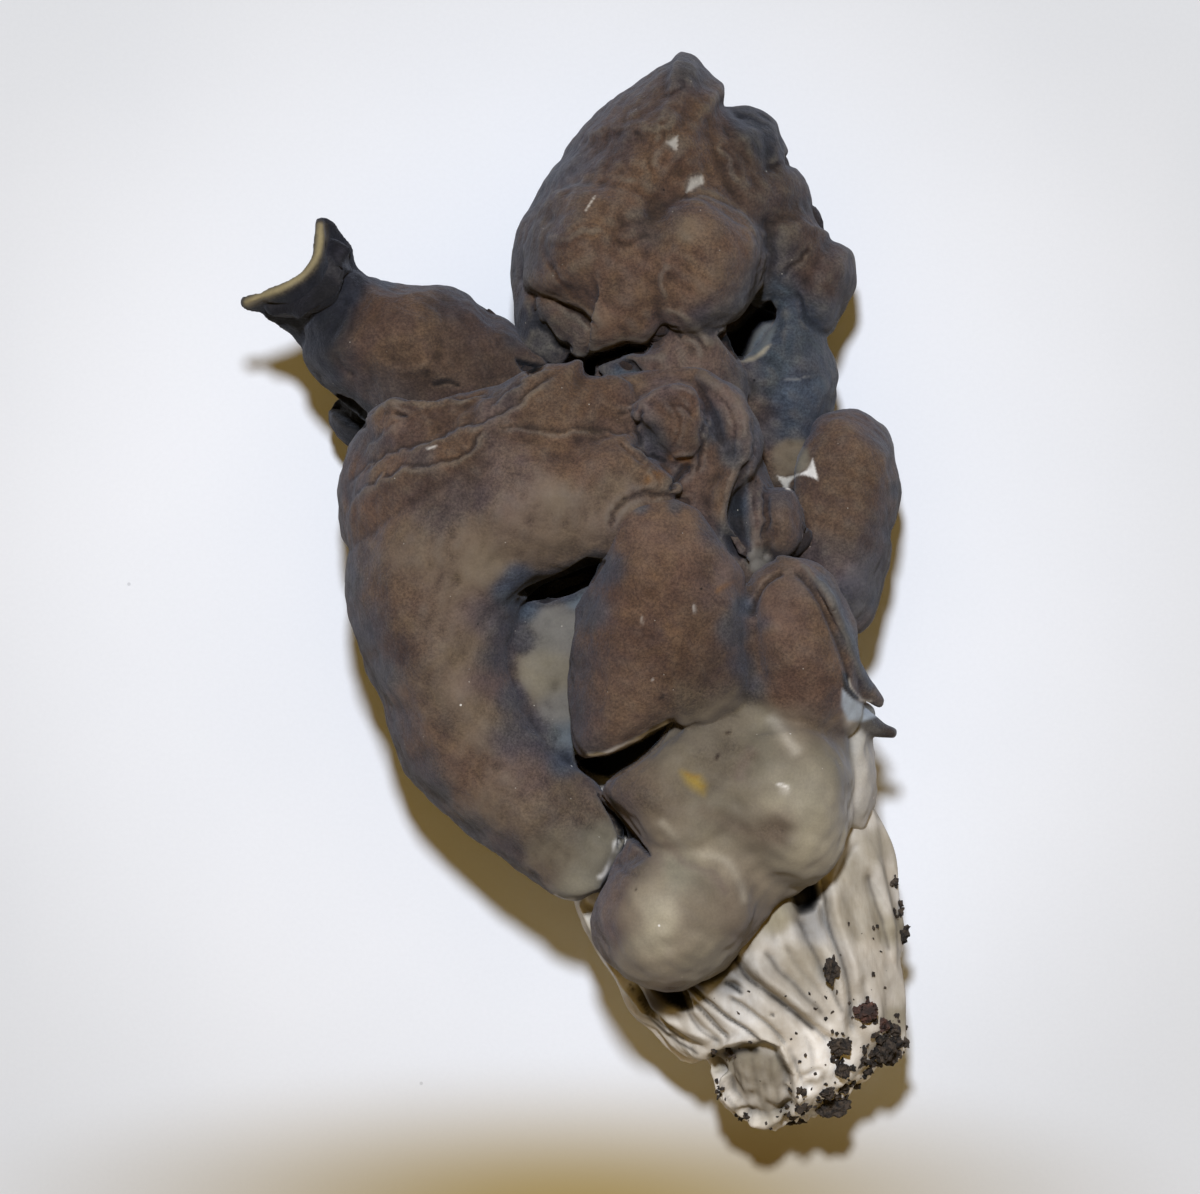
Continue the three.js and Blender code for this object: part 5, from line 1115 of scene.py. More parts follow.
apronShape = {
    "seed": 71, "voxel": 0.28, "smoothing": 5, "triangles": 196000,
    "domes": [
        dict(crown=[10.5, -3.5, 47], curl=15, droop=3, segments=180, edge=[
            [3.5, 5, 38], [5, 9, 39], [6.6, 11, 40], [9.5, 11.6, 40], [13, 11.2, 40], [17.5, 7, 39],
            [21, 0.5, 37], [22, -6, 36], [20.5, -13, 36], [14, -15.4, 39], [11.4, -15, 39], [6, -18, 39],
            [3.5, -18.9, 37.5], [1, -18.9, 36], [-0.2, -16, 34], [-0.6, -10, 32], [0, -4, 32], [2, 2, 35]]),
        dict(crown=[27, -5.5, 43], curl=20, droop=3, edge=[
            [24, 4.5, 33], [29.5, 4, 33], [33.5, -3, 30], [34.5, -9.5, 28], [34, -15, 29], [28, -18, 33],
            [20, -14, 34], [19, -6, 34], [20, 1, 34]]),
        dict(crown=[18, -26, 41.5], curl=20, droop=4, segments=180, edge=[
            [3.4, -23.4, 34], [9, -18, 37], [15, -12, 37], [23, -11, 37], [31, -14.5, 32], [33, -19, 30],
            [33.4, -24.5, 28], [32.6, -29, 27], [30, -32.6, 27], [27, -35.2, 28], [24.8, -36.4, 28],
            [22.4, -39.6, 28], [20.4, -42, 28], [18, -44.4, 27], [14.8, -46.4, 27], [11, -47.2, 27], [7, -46, 27],
            [3.6, -43.4, 26], [2.1, -40.4, 26], [2.2, -37.5, 26], [3.6, -34.4, 28], [5.2, -31, 30],
            [6.4, -29, 31], [6.3, -27.2, 32], [5, -25.4, 33]]),
        dict(crown=[12, -23.5, 43.5], curl=0, edge=[
            [3.4, -22.6, 35], [9, -18.5, 37], [15, -14, 37], [20, -17, 38], [21.5, -25, 38], [16, -31, 37],
            [9.4, -30, 35], [6.8, -26.6, 35]]),
        dict(crown=[26, -24, 44.2], curl=0, power=0.66, edge=[
            [18, -22.5, 38], [20, -16.5, 38], [26, -14.5, 36], [31.5, -17, 32], [33, -23, 29], [32, -30, 28],
            [27.5, -34.5, 29], [21, -31, 36]]),
        dict(crown=[12, -38, 43.6], curl=0, power=0.68, edge=[
            [6, -31.4, 33], [12, -29.8, 36], [19, -32.5, 36], [22.5, -37, 31], [19.5, -42, 29], [14.5, -46, 28],
            [9, -46.5, 28], [4, -43, 27], [2.5, -37.5, 28]]),
        dict(crown=[33.3, -20, 31], curl=0, edge=[
            [32, -13, 27], [34, -12.4, 24], [36, -13.6, 23], [36, -17, 21], [36.3, -21, 20], [36.2, -25, 20],
            [35, -28, 21], [33.4, -28.2, 22], [30, -27, 26], [29, -19, 28]]),
    ],
    "bands": [
        dict(left=[[24, 5.2, 33], [27.6, 4.4, 33], [30.6, 1, 33], [32.8, -3.4, 32], [34.4, -7.6, 31],
                   [35.6, -10.4, 30], [37, -12.2, 29]],
             right=[[24, 4.4, 33], [27, 2.6, 35], [29.6, -0.4, 37], [31.6, -4.4, 36], [33.2, -8.6, 34],
                    [34.6, -11.8, 32], [36.8, -13.2, 29]],
             crown=[36, 39.4, 42.6, 42.4, 40, 36, 31], foot=1.5),
        dict(left=[[31.6, -11.4, 31], [34.4, -12.8, 29], [36.4, -14.4, 27], [38.8, -15.9, 25]],
             right=[[31.6, -14.8, 29], [34.2, -16, 27], [36.2, -16.8, 26], [38.6, -17, 25]],
             crown=[33.5, 32, 29.5, 26.6], foot=1.5),
    ],
    "grooves": [
        (1.3, 1.2, [(19.4, 3.6), (20.4, 0), (20.8, -4), (21.6, -8), (23, -11.6)]),
        (0.6, 0.4, [(26, 3.4), (28.6, 0.6), (30.5, -3.2), (32.1, -7.4), (33, -10.6)]),
        (0.9, 0.28, [(21.2, -2.6), (21.7, 0.2), (23.3, 2.2), (25.2, 3.1)]),
        (0.9, 1.3, [(19.4, -22.6), (21, -19.6), (23, -17)]),
        (0.5, 1.2, [(20, -27.5), (24, -27.4), (27, -28.4)]),
        (0.4, 1.2, [(10, -31.6), (14, -32.4), (17.5, -35.4), (20.4, -38.4)]),
        (0.5, 0.4, [(4.6, -31), (6, -32.4), (8, -33)]),
    ],
    "ridges": [
        (0.6, 0.55, [(26.8, 4.2), (29.6, 1), (31.5, -3), (33.2, -7.2), (34.8, -10.8)]),
        (0.4, 1.2, [(11, -27), (14.5, -29.6), (17, -31.2), (19.6, -34.4)]),
        (0.4, 0.8, [(23.4, -14.4), (25, -16.2), (26.4, -18)]),
        (0.1, 0.4, [(12, -2), (14, -6), (16, -10)]),
    ],
    "lumps": [
        (24.5, -21.5, 3.4, 0.5), (28.8, -25.2, 4, 0.6), (10.5, -37, 7, 0.6), (14.5, -22, 2.4, 0.3),
        (17, -25, 3, 0.2), (8, -22, 3, -0.2), (9, 2, 6, 0.4), (26, -3, 5, 0.4), (10, -11, 5, 0.3),
        (16, -16.5, 3, 0.3), (28, -11, 3, 0.3),
    ],
    "pits": mouthPits,
    "steepShadeBlue": 0.3, "curve": 0.22, "flanks": 0.5, "loose": 0.3,
    # Painted light and shade mixed with the skin's tone, spot by spot: lighter at the lower edges, darker on the
    # upper left.
    "toneLightAndShade": [(0.74, 17, -19, 6.5), (0.95, 13, -26, 5), (0.82, 22.6, -27, 3.4), (0.95, 22, -33, 6),
               (0.85, 13, -8, 6), (1.08, 9, -37, 5), (0.84, 20.6, -20, 4), (1.25, 15.2, 0.4, 2.2),
               (1.25, 4.8, -2, 1.8), (0.75, 13, -12, 2.4), (0.84, 20, -11.6, 2), (1.35, 23.8, -2.2, 2.2),
               (1.25, 25, -12, 2), (0.62, 8, -32, 1.9), (1.2, 20.4, -32.4, 2.6), (1.6, 27.6, -31, 2.3),
               (1.12, 15.2, -27.4, 2.4), (0.76, 5.8, -22.8, 2.6), (0.86, 9, -23.8, 2.2), (1.5, 23, -33.6, 1.9),
               (1.22, 23.8, -25.4, 2.6), (1.15, 25.6, -30, 2), (1.2, 15.4, -29.8, 1.8), (0.88, 29, -23.6, 2.2),
               (0.88, 17.8, -25, 1.8), (1.14, 20.8, -21.2, 2), (1.12, 12, -41, 4), (1.2, 10, 6, 6),
               (0.78, 27, -21.6, 4.4)],
    "patches": [
        ("yellow", 0.75, 0.8, [(12.8, -20.6), (13.8, -21), (15, -21.2), (15.6, -22.2), (15.4, -23.2),
                               (14.2, -22.6), (13.4, -21.8)]),
        ("ice", 0.95, 0.3, [(31.9, -10.8), (33.2, -12), (34.6, -12.9), (36, -13.3), (36.2, -14.2), (34.4, -14.8),
                            (32.6, -14.6), (31.8, -12.8)]),
        # Painted shade in the gap left of the upper horn.
        ("shadeAndMarkBlack", 1.0, 0.2, [(31.8, -8.8), (32.5, -9), (32.8, -10.6), (34.2, -12.1), (33.3, -12.1), (32, -10.9)]),
    ],
    "melts": [(20.5, -24, 4), (20, -30, 4), (14.5, -31, 3), (17, -36, 3), (24, -31, 3.5), (20, -17, 2.5),
              (26, -17, 2.5), (30, -19, 2.5), (12, -33, 3), (22.5, -36, 2.5), (7.6, -33, 1.6), (16, -23, 3),
              (20.8, -6, 1.6), (21, -1, 1.2)],
    "washes": [
        ("bone", 0.6, 0.7, [(32.2, -14), (34, -13.4), (36.4, -16), (37.6, -20), (37.4, -26), (35, -29.4),
                            (32.6, -28.8), (33, -24), (33.4, -19)]),
        ("shadeAndMarkBrown", 0.75, 0.5, [(32.6, -12.2), (34.4, -12.4), (36.4, -14), (39.2, -15.6), (39.2, -17.4),
                              (36.4, -17.2), (34.6, -16.2)]),
    ],
    "spots": {
        "umber": [(10, 8, 2), (7.6, 7.6, 1.4), (13, 8, 2), (5, -10, 3), (5, -15, 2.5), (10, -13, 2),
                  (24, -1, 2.5), (28, -3, 2.5), (25, -6, 3), (30, -7, 2)],
        "plum": [(16, 8, 1.4), (1.5, -8, 1.5), (1.5, -13, 1.5), (2.5, -17, 1.5), (34, -9, 1.2)],
        "rust": [(11, 2, 3), (7, 1, 2), (6, -4, 2.5), (12, -6, 3), (29, -11, 2.5), (25, -10.5, 2)],
        "lead": [(4.6, 3, 1.2), (3, -2, 1.3), (19, -4, 1.4), (20, -8, 1.2), (21.5, -10.5, 1.2), (8, 10.6, 0.6),
                 (12, 10.6, 0.6), (22.6, -3, 0.8), (32, -5, 1)],
        "darkUmber": [(15, 0, 2), (16, -9, 2.5)],
        "mauve": [(18.5, 2, 1.5), (27, 1.5, 1.5), (31.7, -12, 1.2), (5.4, -23.6, 2.2), (8, -31.5, 1.8),
                  (5, -33, 1.2), (4.3, -39, 1.4), (4.5, -36, 1.2)],
        "slate": [(20.5, -1, 1)],
        "tan": [(14, -12, 1.5), (30.4, -15.6, 2.2), (27, -14.4, 1.8), (8, -22.4, 2.6), (24, -27.4, 1.8),
                (3.5, -42, 1.2)],
        "clay": [(14, -16.5, 3), (18, -14.5, 3), (19, -17.5, 3), (13, -20, 3), (17, -21, 3), (21, -29, 2.4),
                 (15, -35.6, 2.2), (7, -44, 1.6), (22.5, -35, 2.4)],
        "olive": [(22, -15.6, 2), (30, -18.6, 1.8), (31.6, -20, 2), (22, -19, 2.4), (26, -31, 3), (17, -26, 3),
                  (16, -43, 2.2)],
        "fawn": [(26, -17.4, 2.2), (20, -24, 3), (12, -28, 2), (16.4, -31, 2.6), (8.8, -31.8, 1.4),
                 (9.2, -34, 1.6), (9, -43, 1.8), (14.6, -40.6, 2.6)],
        "paleTan": [(10, -25, 3), (19.5, -36.6, 3), (7, -38, 1.8)],
        # The straw spots are pale skin with a painted highlight on the apron's tops.
        "straw": [(24, -22, 2.6), (28, -22, 2.4), (29, -27, 2.4), (31, -29, 1.8), (9.8, -37.2, 2),
                  (9.2, -40.6, 1.8)],
        "moss": [(13, -32.4, 2)],
        "mist": [(34, -17.4, 1.2), (36, -14.6, 0.8)],
        "stone": [(34, -20, 1.5), (34.6, -25, 1.5)],
    },
    "lines": [
        ("chalk", 0.95, 0.24, [(1.4, -18.7), (4, -18.3), (8, -16.5), (11.4, -14.6)]),
        # Painted shade in the slit.
        ("shadeAndMarkBlack", 0.95, 0.3, [(4, -23.4), (5, -25), (6, -27), (6.3, -28.6)]),
        ("amber", 0.4, 0.3, [(16.6, 0.4), (18, 1.4), (19.4, 2)]),
        ("amber", 0.6, 0.22, [(13, -20.6), (14.2, -21.2), (15.2, -21)]),
        ("amber", 0.5, 0.2, [(14, -21.3), (14.8, -22.2), (15.8, -22.4)]),
        ("slate", 0.85, 0.8, [(28.6, 3), (30.9, 0.2), (32.9, -4.2), (34.6, -9), (35.8, -11.4)]),
        ("pearl", 0.55, 0.22, [(26.8, 4.2), (29.6, 1), (31.5, -3), (33.2, -7.2), (34.8, -10.8)]),
        # Painted shade in the groove beside the cheek ridge.
        ("shadeAndMarkBlack", 0.45, 0.25, [(26, 3.2), (28.5, 0.5), (30.4, -3.3), (32, -7.5), (32.9, -10.6)]),
        ("bone", 0.9, 0.18, [(32.6, -9.4), (33.1, -11), (34.4, -12.2), (35.8, -12.4)]),
        # Painted highlight: a pale streak on the fold.
        ("chalk", 0.9, 0.16, [(23.8, -22.1), (24.6, -22.1), (25.6, -22.6)]),
        ("bone", 0.35, 0.8, [(22.8, -13.6), (25, -16.2), (26.8, -19)]),
        # Painted highlight along the apron's diagonal ridge.
        ("cream", 0.5, 0.6, [(10, -26), (13.5, -29.8), (17.8, -31), (19.8, -34), (20.6, -36.6)]),
        ("mauve", 0.45, 0.6, [(10.4, -28.4), (13.2, -31.4), (16.6, -32.8), (18.4, -35.4)]),
        # Painted shade in the valley between the apron's left part and its right bulge.
        ("mauve", 0.5, 0.9, [(21.6, -17.2), (20.2, -19.4), (19.2, -22.2)]),
        ("tan", 0.5, 1.2, [(14, -24.4), (18, -26.6), (22, -28), (26, -28.6)]),
        # Painted highlight beside the pale streak.
        ("bone", 0.4, 0.6, [(24, -22.4), (26, -23)]),
        ("shadeAndMarkBlack", 0.85, 0.2, [(10.1, -12.1), (10.9, -11.3)]),
        ("shadeAndMarkBrown", 0.9, 0.2, [(17.7, -16.1), (18.9, -15.9)]),
        ("shadeAndMarkBrown", 0.95, 0.2, [(16.7, -19.4), (17.3, -18.3)]),
        ("shadeAndMarkBrown", 0.8, 0.12, [(7.2, -34.9), (7.6, -34.2)]),
        ("chalk", 0.4, 0.14, [(14.2, -0.6), (14.3, -2)]),
        ("chalk", 0.65, 0.12, [(9.1, -9.8), (9.6, -9.6)]),
        ("bone", 0.3, 0.14, [(8, -2), (8.2, -3.4)]),
        # Painted shade in the groove between the top lobe and the cheek.
        ("shadeAndMarkBrown", 0.6, 0.22, [(21.2, -2.4), (21.7, 0.2), (23.3, 2.2), (25, 3)]),
    ],
}

growLobes("capApron", apronShape).data.materials.append(capSkin)
print("cap done")

# Deep hollows between the stem's ribs, just under the apron, painted black as shade.
leftHollow = [(9.4, -46.6), (12.8, -46.4), (14, -49.4), (13, -49.6), (11.4, -48.8)]
midHollow = [(26, -34), (29, -33.6), (29.4, -36), (28.6, -37.2), (27.2, -37.6), (26.4, -36.4)]

stemShape = {
    "seed": 91, "voxel": 0.27, "smoothing": 3, "triangles": 196000, "curve": 0.2, "dust": 0.0, "loose": 0.2,
    "ribs": 13, "ribDepth": 2.2, "splitDepth": 0.35, "hairDepth": 0.04, "wander": 0.9, "lean": 0.03,
    "longSwells": [(5, 5, 0.22)], "swells": [(3.2, 6, 0.12)], "fibres": [(1.3, 7, 0.07)], "torn": (-51, -60),
    "ground": ("bone", [(9, 4, -1, 1, "chalk", 1.0), (4, 5, 0, 1.6, "straw", 0.4)]),
    "grooveShade": 0.85, "foot": (-50, -58), "footPaler": 0.25,
    "axis": [(-64.5, 27.5, 9), (-61, 27, 10.5), (-55, 26.5, 12), (-48, 24.5, 13.5), (-38, 21, 15.5),
             (-28, 18, 17.5), (-16, 15, 19), (-5, 12.5, 20), (0, 12, 20)],  # y, x and z down the middle
    "domes": [
        dict(crown=[25, -38, 30], curl=5, power=0.8, segments=240, steps=30, edge=[
            [-0.4, -36, 17], [2.4, -42.4, 16], [7.4, -50.6, 14], [11.6, -54.6, 13], [14, -56.4, 13],
            [16.8, -56.4, 13.5], [17.4, -59.5, 12], [19, -62.2, 11], [21.2, -63.8, 10], [23.6, -64.3, 10],
            [26, -63.6, 9.5], [29, -63, 9.5], [31.5, -62, 10], [33.4, -60.4, 10.5], [35.4, -58.6, 11],
            [37, -56.8, 11.5], [39.6, -55.6, 12], [40.2, -53, 12.5], [40, -46, 13.5], [39.9, -41, 14.5],
            [38.8, -34.6, 15.5], [37.2, -27, 16.5], [31, -16, 17], [24, -7, 18], [17, -2, 19], [9, -3, 19],
            [2, -14, 19], [-1, -26, 19]]),
        dict(crown=[24, -42, 0.6], curl=5, edge=[
            [2, -36, 18], [4.5, -42, 17], [9.5, -50, 15], [14, -54, 14], [18, -57.5, 13], [20, -61, 11],
            [23, -63, 10], [28, -62.6, 9.5], [33, -59.6, 10.5], [37, -55, 12], [39, -48, 13.5], [38.6, -38, 14.5],
            [36.2, -27, 16.5], [28, -12, 17], [17, -3, 19], [9, -4, 19], [3, -14, 19], [0.5, -26, 19]]),
    ],
    "grooves": [
        (1.5, 0.7, [(17.5, -41.4), (19, -43), (20.8, -45.5), (23.5, -47.5), (26, -49.4), (29, -52), (31.8, -54)]),
        (1.4, 0.65, [(29.7, -32.5), (29.8, -36.5), (30.6, -39.5), (32, -43), (33, -47), (33.2, -50.5),
                     (33.7, -53)]),
        (0.85, 0.75, [(26.5, -37.6), (28, -41), (29.5, -44), (31, -47), (32.6, -50.6)]),
        (0.78, 0.75, [(35.2, -32), (36, -36), (37, -39), (37.9, -42.6), (38.3, -46)]),
        (0.59, 0.75, [(22.6, -41.6), (24.5, -44.5), (27, -47), (30, -50), (31.5, -52)]),
        (0.45, 0.6, [(25, -41), (27, -44.4), (29.6, -47.6), (31.6, -50.8)]),
        (0.91, 0.39, [(13, -45.6), (15, -47.6), (18, -50), (21, -52), (22.8, -53.4)]),
        (0.85, 0.39, [(12.6, -46.4), (14.6, -48.8), (16.6, -51), (18.8, -53.2)]),
        (0.98, 0.6, [(12.8, -47.4), (13.8, -50), (15.4, -52), (18, -53.6)]),
        (0.85, 0.39, [(18.2, -47.6), (21, -49.6), (23.8, -51.8), (25.6, -54)]),
        (1.3, 0.6, [(17.6, -45.7), (19.2, -46.7), (20.5, -47.7)]),
        (0.65, 0.3, [(23.4, -49.5), (24.2, -50.4)]),
        (1.2, 0.75, [(8.2, -49.6), (10.4, -51.8), (13, -53.8), (15.4, -55.2)]),
        (0.91, 0.42, [(6.6, -46.2), (8.6, -49.4), (10.6, -51.4), (13.6, -53.4), (16.2, -54.6)]),
        (0.91, 0.52, [(1.6, -36.4), (4, -41.8), (7, -46.6), (8.8, -50)]),
        (0.52, 0.6, [(26, -49.8), (28, -53), (28.6, -56.6), (28, -60)]),
        (0.45, 0.52, [(34.6, -45), (35.4, -49), (36, -52)]),
        (0.39, 0.75, [(33, -30), (32.4, -33.6), (33.6, -38), (34.8, -42)]),
        (0.45, 0.45, [(26.4, -54.6), (27.2, -57.5), (29.6, -56.8), (30, -58.8)]),
        (0.33, 0.45, [(31, -34.8), (32.5, -31.4), (34.5, -29)]),
    ],
    "ridges": [
        (1.2, 1.0, [(20.4, -42.6), (23, -45.4), (26, -47.8), (29, -50.8)]),
        (1.2, 1.1, [(31, -33.4), (31.4, -38), (33, -43), (34, -48)]),
        (0.9, 0.6, [(10.4, -50.2), (14, -52), (17.6, -53.4)]),
        (1.1, 0.35, [(0.6, -36), (3.4, -42), (8, -49.2), (12, -53.2)]),
        (0.7, 0.6, [(36.4, -31), (37.4, -36), (38.6, -41)]),
        (0.6, 0.9, [(16, -48.4), (20, -51), (23.4, -53)]),
        (0.8, 0.5, [(16.6, -54.6), (19, -53.4), (22, -52.7), (24.6, -53.8), (26, -56.4), (27.2, -60), (26.4, -63)]),
        (0.7, 0.4, [(16.4, -55.6), (17.2, -58.4), (18.6, -61), (21, -63.4), (24, -64)]),
    ],
    "lumps": [(30, -56.5, 3, 0.6), (34, -55, 2.5, 0.5), (28, -60.5, 2, 0.4), (36, -52.5, 2, 0.4)],
    "pits": [
        (2.0, 0.35, [(16.4, -55.2), (17.8, -54.4), (18.6, -53.9), (20.2, -53.4), (21.6, -53.7), (22.8, -53.1),
                     (24.6, -53.9), (25, -55.4), (26.2, -57.4), (25.9, -59), (26.8, -60.8), (26, -62.4),
                     (23.6, -63.4), (21, -62.9), (19.4, -61), (18.2, -59.8), (17.9, -57.8), (16.9, -56.8)]),
        (4.0, 0.4, leftHollow),
        (4.0, 0.5, midHollow),
        (2.5, 0.5, [(14.6, -45.6), (19.4, -43), (18, -45), (16, -46)]),
    ],
    "baseWeight": 0.05, "steepFrom": 0.5, "steepShadeBlue": 0.35,
    "spots": {
        "bone": [(12, -51.6, 1.5), (16, -49.5, 1.5), (24, -52, 2), (24, -46, 2), (22, -43.5, 1.5), (31, -48, 1.5),
                 (36, -45, 2), (35, -52, 1.5), (14, -54, 1), (20.5, -61.5, 1.4), (26, -57, 1.2)],
        "chalk": [(20, -50, 2), (28, -55, 2), (30, -58, 2), (33, -57, 1.5), (28, -60.5, 1.4)],
        "cream": [(27, -44, 2), (34, -38, 2), (33, -32.6, 1.5), (36, -30, 1.2), (22, -58, 2), (24, -61.5, 1.4),
                  (3, -41, 1)],
        "stone": [(28.5, -39.5, 1.3), (18.4, -46.2, 1.2)],
        "straw": [(38, -40, 1.2), (18, -56, 1), (24.4, -56.4, 1.2), (21.5, -55.4, 1), (38.6, -51, 1),
                  (29, -62, 1)],
        # Painted shadow under the apron: a warm spot on the stem and dark spots at the gaps beside it.
        "rim": [(24, -38, 1.2)],
        "shadeAndMarkBrown": [(26.4, -36.4, 1.4), (10, -48.3, 1.2), (14.4, -46.6, 0.9)],
    },
    "lines": [
        # Painted shade in the grooves between the ribs and in the slots under the apron.
        ("shadeAndMarkBrown", 0.85, 0.28, [(17.5, -41.4), (19, -43), (20.8, -45.5), (23.5, -47.5), (26, -49.4), (29, -52)]),
        ("shadeAndMarkBrown", 0.6, 0.22, [(29.8, -34.5), (30.6, -39.5), (32, -43), (33, -47), (33.2, -50.5)]),
        ("shadeAndMarkBrown", 0.5, 0.3, [(26.5, -38), (28, -41), (29.5, -44), (31, -47), (32.4, -50)]),
        ("shadeAndMarkBrown", 0.5, 0.25, [(35.2, -33), (36, -36), (37, -39), (37.9, -42.6)]),
        ("shadeAndMarkBrown", 0.4, 0.3, [(22.6, -42), (24.5, -44.5), (27, -47), (30, -50)]),
        ("shadeAndMarkBrown", 0.8, 0.14, [(13, -45.8), (15, -47.6), (18, -50), (21, -52), (22.6, -53.2)]),
        ("shadeAndMarkBrown", 0.7, 0.14, [(12.6, -46.4), (14.6, -48.8), (16.6, -51), (18.6, -53)]),
        ("shadeAndMarkBrown", 0.6, 0.2, [(13.2, -48), (14, -50.4), (15.6, -52.2), (17.6, -53.4)]),
        ("shadeAndMarkBlack", 0.9, 0.25, [(17.8, -45.8), (19.2, -46.7), (20.4, -47.6)]),
        ("shadeAndMarkBlack", 0.9, 0.14, [(23.5, -49.6), (24.1, -50.3)]),
        ("shadeAndMarkBrown", 0.8, 0.2, [(8.4, -49.8), (10.4, -51.8), (13, -53.8), (15.2, -55)]),
        ("shadeAndMarkBrown", 0.8, 0.16, [(6.6, -46.2), (8.6, -49.4), (10.6, -51.4), (13.6, -53.4)]),
        # The torn end: a dark soil strip, fibre streaks and pale fibres.
        ("shadeAndMarkBlack", 0.95, 0.5, [(17.6, -55.4), (19, -54.7), (20.8, -54.2), (22.6, -54.4)]),
        ("shadeAndMarkBrown", 0.3, 0.3, [(19.4, -55.4), (20, -58), (21.2, -61)]),
        ("shadeAndMarkBrown", 0.25, 0.25, [(21.4, -55), (22, -58), (23, -62)]),
        ("shadeAndMarkBrown", 0.3, 0.3, [(23.4, -55), (24, -57.6), (24.8, -61)]),
        ("bone", 0.5, 0.3, [(20.6, -56.6), (21.4, -60), (22.4, -62.4)]),
        ("bone", 0.4, 0.3, [(22.6, -56), (23.4, -59), (24, -62)]),
        ("shadeAndMarkBrown", 0.6, 0.3, [(24.6, -54.6), (25.8, -57), (26.6, -60)]),
        ("shadeAndMarkBrown", 0.5, 0.3, [(17.2, -57), (18.2, -59.8), (19.8, -62)]),
    ],
    # Painted shadow under the apron, and lighter towards the foot.
    "toneLightAndShade": [(0.8, 19, -46, 6), (1.3, 30, -57, 6), (1.2, 22, -58, 4)],
    "patches": [
        ("shadeAndMarkBrown", 0.3, 0.4, [(17, -55.2), (18.6, -54.2), (20.4, -53.7), (22.8, -53.5), (24.4, -54.2),
                             (25.8, -57.4), (25.6, -59), (26.2, -60.8), (25.6, -62), (23.6, -62.8), (21, -62.3),
                             (19.8, -60.8), (18.4, -57.8)]),
        # Painted shade in the hollows under the apron.
        ("shadeAndMarkBlack", 1.0, 0.3, leftHollow),
        ("shadeAndMarkBlack", 1.0, 0.4, midHollow),
        # Painted shadow cast by the apron on the stem.
        ("straw", 0.6, 1.2, [(20, -39), (24, -34), (27, -36), (25.5, -39.5), (21, -42)]),
        ("shadeAndMarkBrown", 0.8, 0.6, [(14, -44), (20, -41), (19.4, -43), (17, -45.4), (14.6, -46.4)]),
    ],
}


def ribTurn(shape, places):
    # each vertex's turn round the stem's middle line, counted in ribs, how far the ribs wander there,
    # and how high up a rib it sits, 0 in a groove and 1 on a crest
    y, x, z = np.array(shape["axis"]).T
    middleX, middleZ = np.interp(places[:, 1], y, x), np.interp(places[:, 1], y, z)
    turn = shape["ribs"] * np.arctan2(places[:, 2] - middleZ, places[:, 0] - middleX)
    wander = waves(places * [1, 0.35, 1], 16, shape["seed"]) * shape["wander"]
    return turn, wander, np.abs(np.cos(turn / 2 + wander + places[:, 1] * shape["lean"]))


def makeStem(name, ownShape):
    shape = {**plainShape, **ownShape}
    piece = joinLobes(name, shape)
    places = coordinates(piece)
    ways = normals(piece)
    seen = openToSky(piece, 1, 0.03, 5)
    hidden = spread(piece, 1 - smoothstep(0.1, 0.6, seen * smoothstep(0.05, 0.4, ways[:, 2])), 12)
    turn, wander, rib = ribTurn(shape, places)
    split = np.abs(np.cos(turn * 1.5 + wander * 2.2))
    hairs = np.abs(np.cos(turn * 3 + wander * 4))
    flute = -shape["ribDepth"] * (1 - rib) ** 1.6 - shape["splitDepth"] * (1 - split)
    places = places + ways * (flute * hidden + hairs * shape["hairDepth"] * (1 - hidden))[:, None]
    places += ways * swell(places * [1, 0.4, 1], shape["seed"], shape["longSwells"])[:, None]
    torn = smoothstep(*shape["torn"], places[:, 1])
    fibres = swell(places * [1, 0.25, 0.5], shape["seed"], shape["fibres"])
    places += ways * ((swell(places, shape["seed"], shape["swells"]) + fibres) * torn)[:, None]
    places += sculpt(places, ways, seen, shape)
    settle(piece, places, shape, hidden)
    places = coordinates(piece) / millimetre - origin
    base = groundTones(piece, shape)
    # Painted shade: the grooves between the ribs are darker.
    base *= np.where(ribTurn(shape, places)[2] ** 0.7 > 0.5, 1, shape["grooveShade"])[:, None]
    # Paler towards the foot.
    base *= (1 + shape["footPaler"] * smoothstep(*shape["foot"], places[:, 1]))[:, None]
    paint(piece, shape, base, openToSky(piece, millimetre, 0, 1))
    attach(piece, "root")
    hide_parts("stem")
    return piece


along = (1.0, 0.16, 1.0)
stemFinish = {
    "mottles": [
        (0.8, (0.9, 4, 0.6, 0.3, along), 0.3, 0.7, (0.94, 0.93, 0.92), (1.04, 1.04, 1.04)),
        (0.8, (3.2, 5, 0.65), 0.32, 0.7, (0.88, 0.84, 0.79), (1.07, 1.07, 1.08)),
    ],
    "specks": [(1.9, 0.1, 0.9, 0.7, tone("shadeAndMarkBrown")), (0.9, 0.12, 0.95, 0.6, tone("shadeAndMarkBrown", 0.6))],
    "bumps": [(0.8, 0.06, (0.6, 4, 0.6, 0.2, along)), (0.6, 0.04, (0.25, 2))],
}


def stemMaterial():
    m = Nodes("stemFlesh")
    flesh = m.specks(m.mottles(m.tint(), stemFinish["mottles"]), stemFinish["specks"])
    return m.finish(Base_Color=flesh, Roughness=0.7, Normal=m.bumps(stemFinish["bumps"]), Specular_IOR_Level=0.35)


stem = makeStem("stemFine", stemShape)
stem.data.materials.append(stemMaterial())
print("stem done")

